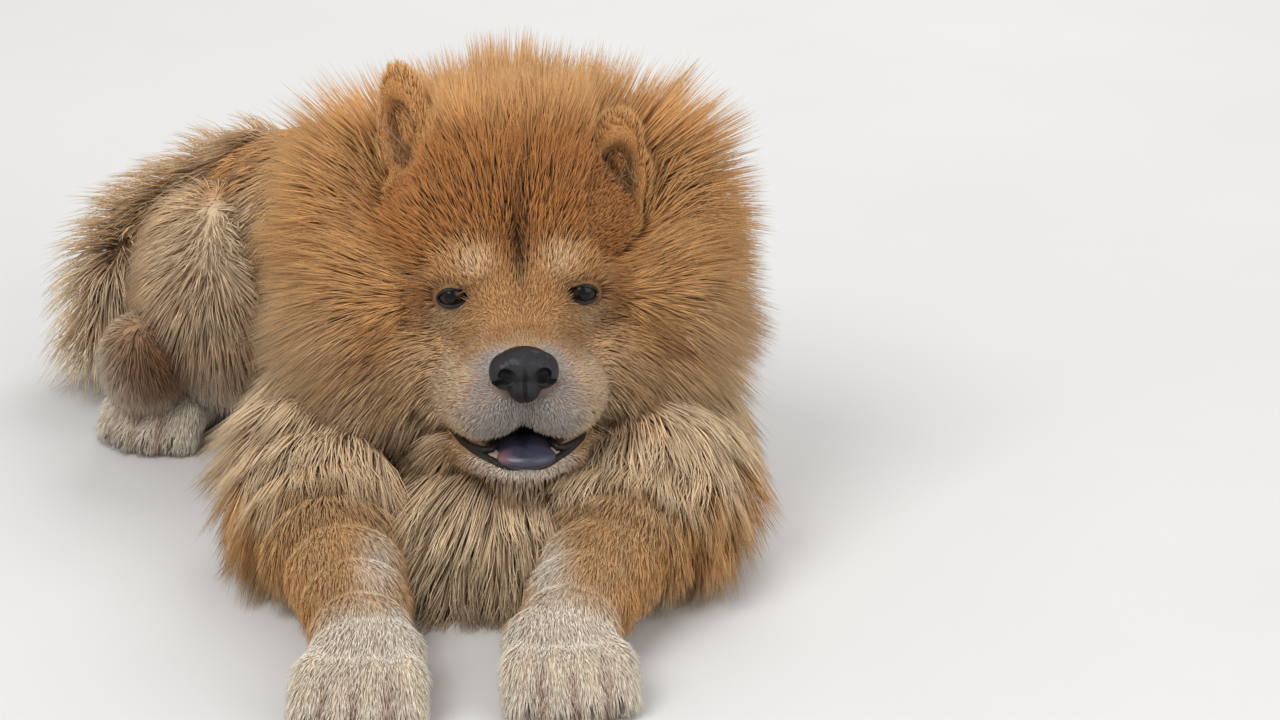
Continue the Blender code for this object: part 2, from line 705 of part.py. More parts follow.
def main():
    clear_scene()
    dog = collection("chow_chow")
    cutters = collection("cutters")
    chance = random.Random(SEED)
    red_coat = material("red_coat", (0.46, 0.20, 0.065), 0.9)
    cream_coat = material("cream_coat", (0.66, 0.47, 0.28), 0.9)
    paw_coat = material("paw_coat", (0.72, 0.60, 0.47), 0.9)
    nose_leather = material("nose_leather", (0.022, 0.022, 0.026), 0.45)
    tongue_blue = material("tongue_blue", (0.075, 0.075, 0.105), 0.4)
    eye_brown = material("eye_brown", (0.012, 0.008, 0.006), 0.08)

    eyes = [build_eye(side, dog) for side in SIDES]
    head = build_head(dog)
    torso = build_trunk("torso", 660, dog)
    neck = mesh_object("neck", torso.data.copy(), dog)
    tail = build_limb("tail", TAIL, COAT_TAIL, 200, dog)
    jaw = build_jaw(dog)
    thigh = {side: build_limb("thigh_" + side, THIGH[side], COAT_THIGH, 200, dog) for side in SIDES}
    shank = {side: build_limb("shank_" + side, SHANK[side], COAT_LEG, 120, dog) for side in SIDES}
    leg = {side: build_limb("foreleg_" + side, FORELEG[side], COAT_LEG, 220, dog) for side in SIDES}
    hindpaw = {side: build_paw("hindpaw_" + side, HINDPAW[side], HINDPAW_WIDTH, dog) for side in SIDES}
    forepaw = {side: build_paw("forepaw_" + side, FOREPAW[side], PAW_WIDTH, dog) for side in SIDES}

    face_form, jaw_form, trunk_form, tail_form = [surface(obj) for obj in (head, jaw, torso, tail)]
    leg_forms = [surface(obj) for obj in (*thigh.values(), *leg.values(), *shank.values())]
    face_room, jaw_room, trunk_room, tail_room = [swollen(obj, cutters) for obj in (head, jaw, torso, tail)]

    cut(head, head_region(cutters), "INTERSECT")
    cheek_rays = rows_round(RUFF_CENTRE, CHEEK_ROWS, 0.0, chance, HEAD)
    cheek_rooms = grow(head, cheek_rays, CHEEK_LOCK, [jaw_form], chance)
    ruff_rays = rows_round(RUFF_CENTRE, RUFF_ROWS, 0.0, chance, HEAD)
    ruff_rooms = grow(head, ruff_rays, RUFF_LOCK, [jaw_form], chance)
    clear_of(head, [eye_slit(side, cutters) for side in SIDES.values()])
    clear_of(head, [swollen(eye, cutters) for eye in eyes])
    mane_rooms = [cheek_rooms, ruff_rooms]
    clear_of(jaw, [face_room, *mane_rooms])
    tongue = clear_of(build_tongue(dog), [face_room, jaw_room])
    nose = clear_of(build_nose(dog, cutters), [face_room])
    ears = [clear_of(build_ear(side, dog, cutters), [face_room, *mane_rooms]) for side in SIDES]

    cut(neck, neck_region(cutters), "INTERSECT")
    neck_form = surface(neck)
    nape_rays = rows_along(NAPE + TRUNK[2:3], 4, (-5, 185), 5, 0.1, chance)
    nape_rooms = grow(neck, nape_rays, TRUNK_LOCK, [face_form], chance)
    clear_of(neck, [head_region(cutters, GAP), *mane_rooms])

    back_rays = rows_along(TRUNK[2:], 6, (-24, 204), 9, 0.25, chance)
    bib_rays = rows_round(Vector(BIB[0]), BIB_ROWS, 2.0, chance)
    rump_rays = rows_round(Vector(TRUNK[-1][:3]), RUMP_ROWS, 0.6, chance, Matrix.Rotation(math.pi, 4, "Z"))
    covers = [face_form, neck_form, jaw_form, tail_form, *leg_forms]
    back_rooms = grow(torso, [*back_rays, *rump_rays], TRUNK_LOCK, covers, chance)
    bib_rooms = grow(torso, bib_rays, BIB_LOCK, covers, chance)
    floor_cut(torso, cutters)
    regions = [head_region(cutters, GAP), neck_region(cutters, GAP, GAP)]
    clear_of(torso, [*regions, *mane_rooms, nape_rooms, jaw_room])

    trunk_rooms = [trunk_room, nape_rooms, back_rooms, bib_rooms]
    tail_rays = rows_along(TAIL, 5, (0, 360), 4, 0.8, chance)
    tail_rooms = [tail_room, grow(tail, tail_rays, TAIL_LOCK, [trunk_form, *leg_forms], chance)]
    clear_of(floor_cut(tail, cutters), trunk_rooms)
    for side, sign in SIDES.items():
        thigh_turns = (90 - sign * 10, 90 - sign * 130)
        thigh_rays = rows_along(THIGH[side], 4, thigh_turns, 3, 0.6, chance)
        thigh_rooms = [swollen(thigh[side], cutters)]
        thigh_rooms.append(grow(thigh[side], thigh_rays, THIGH_LOCK, [trunk_form, tail_form], chance))
        leg_turns = (90 + sign * 20, 90 + sign * 120)
        leg_rays = rows_along(FORELEG[side][1:], 3, leg_turns, 2, 0.3, chance)
        leg_rooms = [swollen(leg[side], cutters)]
        leg_rooms.append(grow(leg[side], leg_rays, LEG_LOCK, [trunk_form, face_form], chance))
        shank_room = swollen(shank[side], cutters)
        clear_of(floor_cut(thigh[side], cutters), trunk_rooms + tail_rooms)
        behind = trunk_rooms + tail_rooms + thigh_rooms
        clear_of(floor_cut(shank[side], cutters), behind)
        clear_of(floor_cut(hindpaw[side], cutters), [*behind, shank_room])
        clear_of(floor_cut(leg[side], cutters), [*trunk_rooms, *mane_rooms, face_room, jaw_room])
        clear_of(floor_cut(forepaw[side], cutters), leg_rooms)

    for obj in (head, neck, torso, tail, *leg.values(), *ears):
        finish(obj, red_coat)
    for obj in (*thigh.values(), jaw, *shank.values()):
        finish(obj, cream_coat)
    for obj in (*forepaw.values(), *hindpaw.values()):
        finish(obj, paw_coat)
    finish(nose, nose_leather)
    finish(tongue, tongue_blue)
    for obj in eyes:
        finish(obj, eye_brown)

    clear_cutters(dog)
    whole = bpy.data.objects.new("dog", None)
    dog.objects.link(whole)
    whole.location = -BELLY
    for obj in dog.objects:
        if obj is not whole:
            obj.parent = whole


main()
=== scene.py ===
"""Dresses the solids of a life-size, lying chow chow with one skin, its coat, and its eyes, nose and mouth.

Metres, +Z up. The dog faces -Y and its right side is towards -X. The head's forms are written from
the tip of its nose, and the body's from a point on the floor between the shoulders.
"""

import math

import bmesh
import bpy
import numpy as np
from mathutils import Euler, Matrix, Vector
from mathutils.kdtree import KDTree


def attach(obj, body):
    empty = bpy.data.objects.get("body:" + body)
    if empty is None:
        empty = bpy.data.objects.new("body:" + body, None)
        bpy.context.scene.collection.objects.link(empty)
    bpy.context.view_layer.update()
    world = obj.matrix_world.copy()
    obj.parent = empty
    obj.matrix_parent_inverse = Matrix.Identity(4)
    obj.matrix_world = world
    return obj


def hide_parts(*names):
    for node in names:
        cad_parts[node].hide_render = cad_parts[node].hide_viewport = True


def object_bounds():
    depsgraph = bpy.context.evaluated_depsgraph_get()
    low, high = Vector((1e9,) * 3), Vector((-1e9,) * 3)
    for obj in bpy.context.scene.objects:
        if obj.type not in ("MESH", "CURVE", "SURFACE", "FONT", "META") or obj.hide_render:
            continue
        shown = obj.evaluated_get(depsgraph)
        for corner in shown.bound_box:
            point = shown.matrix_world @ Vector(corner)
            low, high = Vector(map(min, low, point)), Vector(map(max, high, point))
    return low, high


bl_info = {
    "name": "Lying chow chow",
    "version": (1, 0, 0),
    "blender": (4, 5, 0),
    "location": "3D View > Sidebar > Chow chow",
    "description": "Skin, coat, eyes, nose and mouth for a life-size chow chow",
    "category": "Add Mesh",
}

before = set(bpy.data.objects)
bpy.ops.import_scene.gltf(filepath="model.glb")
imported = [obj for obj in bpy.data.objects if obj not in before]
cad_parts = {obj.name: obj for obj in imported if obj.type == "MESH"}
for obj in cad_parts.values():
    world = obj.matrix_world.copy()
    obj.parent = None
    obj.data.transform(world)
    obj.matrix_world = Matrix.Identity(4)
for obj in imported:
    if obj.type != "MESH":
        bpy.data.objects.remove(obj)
SOLIDS_BOX = [list(corner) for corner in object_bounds()]

# The belly's resting point, seen from between the shoulders, and the head's place
BELLY = Vector((0.045, 0.090, 0.0))
NOSE_TIP = Vector((0.102, -0.160, 0.164))
HEAD = (
    Matrix.Translation(NOSE_TIP - BELLY)
    @ Matrix.Rotation(math.radians(5), 4, "Z")
    @ Matrix.Rotation(math.radians(-8), 4, "X")
)
BODY = Matrix.Translation(-BELLY)
SIDES = {"r": -1, "l": 1}
SEED = 7

# Flesh under the coat: a centre and three radii, in the head's frame. Pairs stand at both sides
SKULL = [
    ((0.0, 0.140, 0.022), (0.070, 0.080, 0.062)),
    ((0.0, 0.100, 0.024), (0.058, 0.046, 0.042)),
    ((0.046, 0.118, -0.010), (0.036, 0.046, 0.040)),
    ((0.026, 0.075, 0.050), (0.021, 0.018, 0.014)),
    ((0.022, 0.118, 0.076), (0.058, 0.048, 0.046)),
    ((0.070, 0.134, 0.006), (0.042, 0.044, 0.060)),
    ((0.0, 0.058, -0.004), (0.032, 0.048, 0.024)),
    ((0.0, 0.036, 0.000), (0.023, 0.024, 0.017)),
    ((0.021, 0.036, -0.022), (0.024, 0.028, 0.024)),
    ((0.028, 0.060, -0.022), (0.022, 0.040, 0.024)),
    ((0.0395, 0.0745, 0.0345), (0.0142, 0.0142, 0.0142)),
    ((0.0, 0.168, 0.008), (0.112, 0.062, 0.108)),
    ((0.060, 0.162, 0.060), (0.048, 0.046, 0.050)),
    ((0.0, 0.052, -0.0640), (0.030, 0.040, 0.0080)),
]
JAW = [
    (0.034, 0.085, -0.0540, 0.012, 0.0120),
    (0.027, 0.047, -0.0590, 0.012, 0.0090),
    (0.008, 0.021, -0.0610, 0.010, 0.0066),
]
EARS = {
    "r": ((-0.064, 0.118, 0.112), (4, -7, -50)),
    "l": ((0.063, 0.116, 0.084), (14, 2, 8)),
}
EAR_FORMS = [((0.0, 0.004, 0.008), (0.023, 0.011, 0.032)), ((0.0, 0.004, 0.032), (0.0168, 0.0085, 0.0235))]
EAR_CUP = ((0.0, -0.007, 0.014), (0.0165, 0.0125, 0.0255))

# Flesh of the trunk, legs and tail: stations of x, y, z, half width and half height
LIMBS = {
    "trunk": [
        (0.080, 0.015, 0.112, 0.098, 0.104),
        (0.070, 0.045, 0.115, 0.098, 0.116),
        (0.050, 0.080, 0.117, 0.098, 0.112),
        (0.010, 0.150, 0.110, 0.088, 0.103),
        (-0.035, 0.215, 0.102, 0.084, 0.092),
        (-0.062, 0.255, 0.096, 0.078, 0.080),
    ],
    "nape": [(0.086, 0.030, 0.150, 0.080, 0.100), (0.070, 0.085, 0.150, 0.084, 0.098)],
    "foreleg_r": [
        (0.000, -0.010, 0.080, 0.046, 0.056),
        (-0.026, -0.045, 0.062, 0.042, 0.046),
        (-0.020, -0.120, 0.044, 0.038, 0.036),
        (0.002, -0.205, 0.034, 0.029, 0.026),
        (0.006, -0.232, 0.031, 0.027, 0.024),
    ],
    "foreleg_l": [
        (0.162, -0.015, 0.080, 0.046, 0.056),
        (0.176, -0.055, 0.062, 0.042, 0.046),
        (0.160, -0.125, 0.044, 0.038, 0.036),
        (0.134, -0.200, 0.034, 0.029, 0.026),
        (0.130, -0.220, 0.031, 0.027, 0.024),
    ],
    "thigh_r": [
        (-0.118, 0.150, 0.088, 0.044, 0.052),
        (-0.120, 0.200, 0.092, 0.050, 0.066),
        (-0.105, 0.245, 0.088, 0.046, 0.058),
    ],
    "thigh_l": [
        (0.072, 0.185, 0.084, 0.040, 0.048),
        (0.050, 0.240, 0.088, 0.046, 0.062),
        (0.010, 0.275, 0.086, 0.044, 0.054),
    ],
    "shank_r": [(-0.163, 0.124, 0.066, 0.026, 0.030), (-0.160, 0.205, 0.040, 0.024, 0.026)],
    "shank_l": [(0.104, 0.160, 0.060, 0.026, 0.030), (0.100, 0.240, 0.040, 0.024, 0.026)],
    "tail": [
        (-0.084, 0.300, 0.140, 0.018, 0.018),
        (-0.140, 0.310, 0.118, 0.018, 0.018),
        (-0.180, 0.288, 0.094, 0.017, 0.017),
        (-0.200, 0.246, 0.078, 0.012, 0.012),
        (-0.204, 0.236, 0.044, 0.010, 0.012),
    ],
}
BIB = ((0.092, -0.045, 0.040), (0.078, 0.078, 0.052))
PAWS = {
    "forepaw_r": (0.010, -0.271, -3, 0.076),
    "forepaw_l": (0.127, -0.254, 8, 0.076),
    "hindpaw_r": (-0.152, 0.152, -24, 0.068),
    "hindpaw_l": (0.112, 0.146, 14, 0.068),
}
PAW_LENGTH = 0.094


# ---------------------------------------------------------------- settings


class ChowCoatSettings(bpy.types.PropertyGroup):
    """How long, thick and unruly the coat is."""

    length: bpy.props.FloatProperty(
        name="Length", description="Times the length of each region's hair", default=1.0, min=0.3, max=1.5
    )
    thickness: bpy.props.FloatProperty(
        name="Thickness", description="Times the width of each tuft", default=1.0, min=0.3, max=3.0
    )
    spacing: bpy.props.FloatProperty(
        name="Spacing", description="Times the gap between tufts", default=1.0, min=0.7, max=4.0
    )
    clumping: bpy.props.FloatProperty(
        name="Clumping",
        description="How far tips draw together into locks",
        default=0.6,
        subtype="FACTOR",
        min=0.0,
        max=1.0,
    )
    unruliness: bpy.props.FloatProperty(
        name="Unruliness",
        description="How far single tufts stray from the lie",
        default=0.13,
        subtype="FACTOR",
        min=0.0,
        max=1.0,
    )


def colour_setting(name, description, value):
    """A colour that the user may change."""
    return bpy.props.FloatVectorProperty(
        name=name, description=description, subtype="COLOR", default=value, min=0.0, max=1.0
    )


class ChowColours(bpy.types.PropertyGroup):
    """The coat's colours, and those of the bare parts."""

    red: colour_setting("Red", "Forehead, cheeks and ears", (0.440, 0.180, 0.048))
    gold: colour_setting("Gold", "Ruff, back and legs", (0.640, 0.350, 0.135))
    tan: colour_setting("Tan", "Muzzle and lower cheeks", (0.600, 0.390, 0.200))
    cream: colour_setting("Cream", "Tips of the ruff, bib and thighs", (0.740, 0.570, 0.370))
    white: colour_setting("White", "Paws and the inner sides of the legs", (0.880, 0.790, 0.670))
    silver: colour_setting("Silver", "Around the nose", (0.480, 0.450, 0.430))
    brown: colour_setting("Brown", "Shaded roots", (0.240, 0.110, 0.042))
    # Dark is the lids', lips' and lashes' own colour; on the forehead's furrow it is painted shade.
    dark: colour_setting("Dark", "Furrow, lids and lips", (0.010, 0.007, 0.006))
    leather: colour_setting("Nose leather", "The bare nose", (0.0065, 0.0065, 0.0085))
    tongue: colour_setting("Tongue", "The blue-black tongue", (0.030, 0.030, 0.052))
    iris: colour_setting("Iris", "Around the pupil", (0.030, 0.013, 0.006))


# ---------------------------------------------------------------- the comb: how the coat lies

# Guides on the head, in its frame and in millimetres, each standing at both sides where it is off the
# middle: place, the way the hair points, length, width, gap, rise at the root, droop, wave, root and
# tip colour
HEAD_COMB = [
    # muzzle and lips
    ((0, 26, 20), (0, 1, 0.5), 4.5, 0.6, 1.1, 0.2, 0, 0, "tan", "tan"),
    ((10, 40, 18), (0.2, 1, 0.4), 5, 0.6, 1.1, 0.2, 0, 0, "brown", "gold"),
    ((0, 60, 26), (0, 1, 0.5), 6, 0.6, 1.15, 0.2, 0, 0, "brown", "gold"),
    ((22, 50, 6), (0.5, 1, 0.1), 6, 0.6, 1.15, 0.3, 0, 0, "red", "tan"),
    ((42, 52, -12), (0.5, 1, -0.4), 8, 0.7, 1.2, 0.3, 0.1, 0, "red", "cream"),
    ((18, 16, 4), (1, 0.5, 0.1), 4, 0.5, 1, 0.3, 0, 0, "silver", "silver"),
    ((22, 12, -12), (1, 0.4, -0.4), 4.5, 0.5, 1, 0.3, 0, 0, "brown", "silver"),
    ((12, 6, -24), (0.5, 0.2, -1), 4.5, 0.5, 1, 0.3, 0, 0, "dark", "silver"),
    ((22, 12, -34), (0.6, 0.4, -0.9), 5.5, 0.6, 1.05, 0.3, 0, 0, "brown", "silver"),
    ((34, 24, -10), (0.8, 0.7, -0.3), 6, 0.6, 1.1, 0.3, 0, 0, "red", "cream"),
    ((34, 28, -34), (0.6, 0.7, -0.7), 7, 0.7, 1.15, 0.3, 0.1, 0, "brown", "cream"),
    ((46, 62, -30), (0.7, 1, -0.2), 9, 0.7, 1.2, 0.2, 0.1, 0, "red", "cream"),
    ((0, 10, -66), (0, 0.5, -1), 4.5, 0.6, 1.2, 0.3, 0.1, 0, "silver", "white"),
    ((20, 22, -66), (0.4, 0.7, -0.8), 5, 0.6, 1.2, 0.3, 0.1, 0, "brown", "white"),
    ((32, 50, -62), (0.5, 0.8, -0.7), 8, 0.7, 1.3, 0.3, 0.2, 0.1, "brown", "tan"),
    ((0, 45, -74), (0, -0.2, -1), 26, 0.9, 1.6, 0.3, 0.2, 0.3, "brown", "cream"),
    # round the eyes, brows and forehead
    ((14, 62, 34), (0.1, 0.7, 0.9), 6, 0.6, 1.15, 0.3, 0, 0, "brown", "gold"),
    ((30, 60, 20), (0.4, 1, -0.2), 6, 0.6, 1.15, 0.3, 0, 0, "brown", "gold"),
    ((44, 64, 20), (0.8, 0.9, -0.4), 8, 0.6, 1.2, 0.3, 0, 0, "brown", "tan"),
    ((40, 60, 45), (0.3, 0.1, 1), 9, 0.7, 1.2, 0.4, 0, 0, "brown", "gold"),
    ((24, 58, 54), (0.3, 0.1, 1), 10, 0.7, 1.2, 0.4, 0, 0, "red", "gold"),
    ((56, 74, 34), (1, 0.6, 0), 14, 0.9, 1.3, 0.4, 0, 0, "brown", "red"),
    ((0, 68, 62), (0, 0.1, 1), 10, 0.7, 1.25, 0.4, 0, 0, "brown", "red"),
    ((12, 74, 80), (0.2, -0.1, 1), 20, 0.9, 1.6, 0.6, 0, 0, "brown", "red"),
    ((34, 74, 76), (0.5, -0.1, 1), 20, 0.9, 1.6, 0.6, 0, 0, "brown", "red"),
    ((58, 82, 62), (1, 0, 0.8), 24, 1, 1.6, 0.6, 0, 0, "brown", "red"),
    ((0, 80, 105), (0, -0.1, 1), 32, 0.86, 1.36, 0.6, 0, 0, "brown", "red"),
    ((36, 84, 106), (0.3, -0.1, 1), 32, 0.86, 1.36, 0.6, 0, 0, "brown", "red"),
    ((0, 108, 124), (0, 0.1, 1), 52, 0.81, 1.36, 0.6, 0, 0.1, "red", "gold"),
    ((34, 108, 122), (0.2, 0.1, 1), 48, 0.81, 1.36, 0.6, 0, 0.1, "red", "gold"),
    ((62, 100, 90), (0.5, 0, 1), 15, 0.9, 1.5, 0.4, 0, 0, "brown", "red"),
    # cheeks
    ((66, 88, 40), (1, 0.1, 0.3), 28, 0.86, 1.36, 0.6, 0, 0, "red", "gold"),
    ((90, 100, 50), (1, 0, 0.5), 42, 0.81, 1.36, 0.5, 0, 0.1, "red", "gold"),
    ((70, 88, 12), (1, 0.1, -0.3), 30, 0.86, 1.36, 0.5, 0.2, 0, "red", "gold"),
    ((96, 102, 0), (1, -0.1, -0.5), 50, 0.81, 1.36, 0.5, 0.1, 0.1, "red", "tan"),
    ((62, 84, -16), (1, 0.1, -0.6), 26, 0.9, 1.6, 0.4, 0.2, 0.1, "red", "tan"),
    ((58, 86, -40), (0.9, -0.1, -0.8), 36, 0.86, 1.36, 0.4, 0.2, 0.3, "red", "cream"),
    ((85, 100, -40), (1, -0.3, -0.7), 56, 0.81, 1.36, 0.4, 0.2, 0.3, "gold", "cream"),
    # the ruff
    ((112, 140, 60), (1, 0, 0.4), 62, 0.88, 1.36, 0.4, 0, 0.2, "red", "gold"),
    ((120, 150, 10), (1, 0, -0.4), 64, 0.88, 1.36, 0.4, 0.1, 0.2, "red", "tan"),
    ((104, 130, -45), (1, -0.6, -0.4), 70, 0.88, 1.36, 0.3, 0.1, 0.4, "gold", "cream"),
    ((84, 106, -70), (0.6, -1, -0.4), 88, 0.88, 1.36, 0.3, 0.1, 0.5, "tan", "cream"),
    ((56, 80, -85), (0.35, -1, -0.6), 88, 0.88, 1.36, 0.3, 0.1, 0.5, "brown", "cream"),
    ((24, 60, -104), (0.1, -0.9, -1), 84, 0.88, 1.36, 0.3, 0.1, 0.5, "brown", "cream"),
    ((0, 75, -90), (0, -0.7, -1), 70, 0.88, 1.36, 0.3, 0.1, 0.5, "brown", "cream"),
    ((86, 140, 104), (0.7, 0.1, 0.9), 74, 0.88, 1.36, 0.4, 0, 0.1, "red", "gold"),
    ((40, 145, 122), (0.3, 0.2, 1), 72, 0.88, 1.36, 0.5, 0, 0.1, "red", "gold"),
    ((0, 160, 122), (0, 0.2, 1), 72, 0.88, 1.36, 0.5, 0, 0.1, "red", "gold"),
    ((70, 196, 80), (0.6, 0.9, 0.5), 54, 1.1, 2.4, 0.4, 0.1, 0.2, "red", "gold"),
    ((0, 200, 80), (0, 1, 0.4), 54, 1.1, 2.4, 0.4, 0.1, 0.2, "red", "gold"),
    ((90, 200, -20), (0.8, 0.9, -0.4), 54, 1.1, 2.4, 0.4, 0.2, 0.2, "red", "gold"),
]

# Guides round the limbs are set at each station: how far along the limb they hold, then length, width
# and gap in millimetres, how far the hair points along the limb, outwards and down, rise, droop and wave,
# then root, top, side and low colour
PLUSH = (1.0, 15.0, 0.7, 1.6, 1.0, 0.4, 0.3, 0.15, 0.1, 0.1, "gold", "tan", "gold", "cream")
DRAPE = (0.36, 72.0, 1.2, 2.2, 1.0, 0.25, 0.3, 0.3, 0.1, 0.5, "red", "cream", "gold", "cream")
MIDDLE = (0.55, 32.0, 0.9, 1.8, 1.0, 0.3, 0.3, 0.2, 0.1, 0.3, "gold", "tan", "gold", "cream")
THIGH = (1.0, 36.0, 1.0, 2.35, 0.4, 0.15, 1.5, 0.14, 0.1, 0.25, "red", "tan", "gold", "tan")
SHANK = (1.0, 18.0, 0.9, 1.8, 0.8, 0.2, 1.0, 0.15, 0.2, 0.1, "tan", "cream", "white", "white")
LIMB_COMB = {
    "trunk": [(1.0, 44.0, 1.4, 3.1, 1.0, 0.15, 1.3, 0.2, 0.2, 0.3, "red", "gold", "gold", "cream")],
    "nape": [(1.0, 54.0, 1.3, 3.0, 1.0, 0.5, 0.2, 0.3, 0.1, 0.2, "red", "gold", "gold", "tan")],
    "foreleg_r": [DRAPE, MIDDLE, PLUSH],
    "foreleg_l": [DRAPE, MIDDLE, PLUSH],
    "thigh_r": [THIGH],
    "thigh_l": [THIGH],
    "shank_r": [SHANK],
    "shank_l": [SHANK],
    "tail": [(1.0, 54.0, 1.1, 2.1, 0.5, 1.0, 0.2, 0.4, 0.2, 0.3, "brown", "tan", "cream", "silver")],
}
PAW_COMB = [(1.0, 13.0, 0.7, 1.42, 1.0, 0.5, 0.35, 0.15, 0.1, 0.15, "cream", "white", "white", "cream")]
EAR_COMB = [(1.0, 9.0, 0.7, 1.3, 1.0, 0.35, 0.0, 0.3, 0.0, 0.0, "red", "gold", "gold", "gold")]

# Guides on the bib and chest, seen from between the shoulders
BIB_COMB = [
    ((0.092, -0.118, 0.050), (0.0, -0.6, -1.0), 80.0, 1.2, 2.1, 0.4, 0.1, 0.5, "brown", "cream"),
    ((0.040, -0.096, 0.070), (-0.6, -0.9, -0.6), 84.0, 1.2, 2.1, 0.4, 0.1, 0.5, "brown", "cream"),
    ((0.144, -0.096, 0.070), (0.6, -0.9, -0.6), 84.0, 1.2, 2.1, 0.4, 0.1, 0.5, "brown", "cream"),
]

# Small marks on the head: place, radius, colour and strength, at both sides where off the middle. The dark
# mark on the forehead's furrow and the brown marks below the eyes' outer corners are painted shade in
# creases; the others are the coat's own colours.
MARKS = [
    # painted shade in the forehead's furrow
    ((0.0015, 0.072, 0.066), (0.0044, 0.03, 0.027), "dark", 0.95),
    ((0.025, 0.060, 0.053), (0.010, 0.014, 0.008), "cream", 0.6),
    ((0.0395, 0.064, 0.0345), (0.013, 0.016, 0.0080), "dark", 0.8),
    ((0.040, 0.066, 0.0215), (0.012, 0.012, 0.0045), "cream", 0.35),
    # painted shade in the creases below the eyes' outer corners
    ((0.062, 0.088, 0.014), (0.016, 0.016, 0.0045), "brown", 0.85),
    ((0.079, 0.094, 0.001), (0.014, 0.016, 0.0050), "brown", 0.7),
]

# Larger marks on the body, seen from between the shoulders: the pale band on the flank, painted shade in the
# hollow at the knee, the fringe of the belly, and the pale insides of the forelegs
BODY_MARKS = [
    ((-0.098, 0.150, 0.170), (0.044, 0.034, 0.045), "cream", 0.85),
    ((-0.112, 0.160, 0.150), (0.036, 0.040, 0.034), "cream", 0.9),
    ((-0.114, 0.122, 0.120), (0.036, 0.030, 0.048), "cream", 0.85),
    ((-0.124, 0.126, 0.055), (0.032, 0.028, 0.050), "white", 0.9),
    # painted shade in the hollow at the knee
    ((-0.152, 0.106, 0.076), (0.032, 0.030, 0.034), "brown", 0.95),
    ((-0.108, 0.100, 0.012), (0.030, 0.050, 0.026), "white", 0.6),
    ((0.012, -0.190, 0.056), (0.011, 0.040, 0.020), "white", 0.7),
    ((0.030, -0.245, 0.042), (0.012, 0.036, 0.022), "white", 0.9),
    ((0.120, -0.190, 0.052), (0.012, 0.050, 0.022), "white", 0.85),
    ((0.006, -0.262, 0.040), (0.060, 0.028, 0.050), "white", 0.55),
    ((0.130, -0.248, 0.040), (0.060, 0.028, 0.050), "white", 0.55),
]


# Pinkish brown skin and hair between the toes
TOE_SKIN = (0.30, 0.16, 0.12)
TOE_HAIR = (0.48, 0.30, 0.23)


# ---------------------------------------------------------------- forms and meshes


def head_point(place):
    """A place in the head's frame, in the frame of the whole."""
    return HEAD @ Vector(place)


def mirrored(rows):
    """Rows that start with a place in the head's frame, repeated at the other side where off the middle."""
    for place, *rest in rows:
        yield (Vector(place), *rest)
        if abs(place[0]) > 0.004:
            yield (Vector((-place[0], *place[1:])), *rest)


def ellipsoid(base, centre, radii, turn=Euler()):
    """The matrix that makes an ellipsoid of a ball of radius 1."""
    turned = base @ Matrix.Translation(Vector(centre)) @ turn.to_matrix().to_4x4()
    return turned @ Matrix.Diagonal((*radii, 1.0))


def stations_between(stations, count):
    """So many stations evenly along a line of (x, y, z, half width, half height), each with the way ahead."""
    spans = [math.dist(a[:3], b[:3]) for a, b in zip(stations, stations[1:])]
    for i in range(count):
        left = sum(spans) * i / (count - 1)
        for a, b, span in zip(stations, stations[1:], spans):
            if left <= span or b is stations[-1]:
                share = min(1.0, left / span)
                ahead = (Vector(b[:3]) - Vector(a[:3])).normalized()
                yield [u + (v - u) * share for u, v in zip(a, b)], ahead
                break
            left -= span


def limb_forms(base, stations, count):
    """Ellipsoids that overlap along a limb."""
    for (x, y, z, wide, high), ahead in stations_between(stations, count):
        turn = Euler((0.0, 0.0, math.atan2(ahead.y, ahead.x) - math.pi / 2))
        yield ellipsoid(base, (x, y, z), (wide, (wide + high) / 2, high), turn)


def paw_frame(name):
    x, y, turn, _ = PAWS[name]
    return BODY @ Matrix.Translation((x, y, 0.0)) @ Matrix.Rotation(math.radians(turn), 4, "Z")


def toe_lines(width):
    """The stations of a paw's four toes, in the paw's frame."""
    for i in range(4):
        share = (i - 1.5) / 1.5
        front = -PAW_LENGTH * (0.36 - 0.09 * share * share)
        yield [
            (share * width * 0.26, 0.010, 0.025, 0.012, 0.013),
            (share * width * 0.34, front * 0.5, 0.026, 0.0115, 0.013),
            (share * width * 0.36, front, 0.0135, 0.0105, 0.012),
        ]


def ear_frame(side):
    place, turn = EARS[side]
    return HEAD @ Matrix.Translation(place) @ Euler([math.radians(a) for a in turn]).to_matrix().to_4x4()


def flesh():
    """Every ellipsoid of the dog's flesh, by region."""
    regions = {"head": [ellipsoid(HEAD, centre, radii) for centre, radii in mirrored(SKULL)]}
    for side in SIDES.values():
        line = [(side * x, *rest) for x, *rest in JAW]
        regions["head"] += limb_forms(HEAD, line, 8)
    for side in SIDES:
        regions["ear_" + side] = [ellipsoid(ear_frame(side), *form) for form in EAR_FORMS]
    for name, stations in LIMBS.items():
        regions[name] = list(limb_forms(BODY, stations, 12 if name in ("trunk", "tail") else 8))
    regions["bib"] = [ellipsoid(BODY, *BIB)]
    for name, (*_, width) in PAWS.items():
        paw = paw_frame(name)
        regions[name] = [ellipsoid(paw, (0.0, 0.020, 0.025), (width * 0.42, 0.029, 0.025))]
        for toe in toe_lines(width):
            regions[name] += limb_forms(paw, toe, 5)
    return regions


def applied(places, matrix):
    """Points moved by a matrix."""
    m = np.array(matrix)
    return places @ m[:3, :3].T + m[:3, 3]


def unit(vectors):
    return vectors / np.maximum(np.linalg.norm(vectors, axis=1, keepdims=True), 1e-9)


def mesh_object(name, mesh):
    obj = bpy.data.objects.new(name, mesh)
    bpy.context.scene.collection.objects.link(obj)
    return obj


def settle(obj):
    """Applies every modifier of obj."""
    bpy.context.view_layer.update()
    graph = bpy.context.evaluated_depsgraph_get()
    mesh = bpy.data.meshes.new_from_object(obj.evaluated_get(graph))
    obj.modifiers.clear()
    obj.data = mesh
    return obj


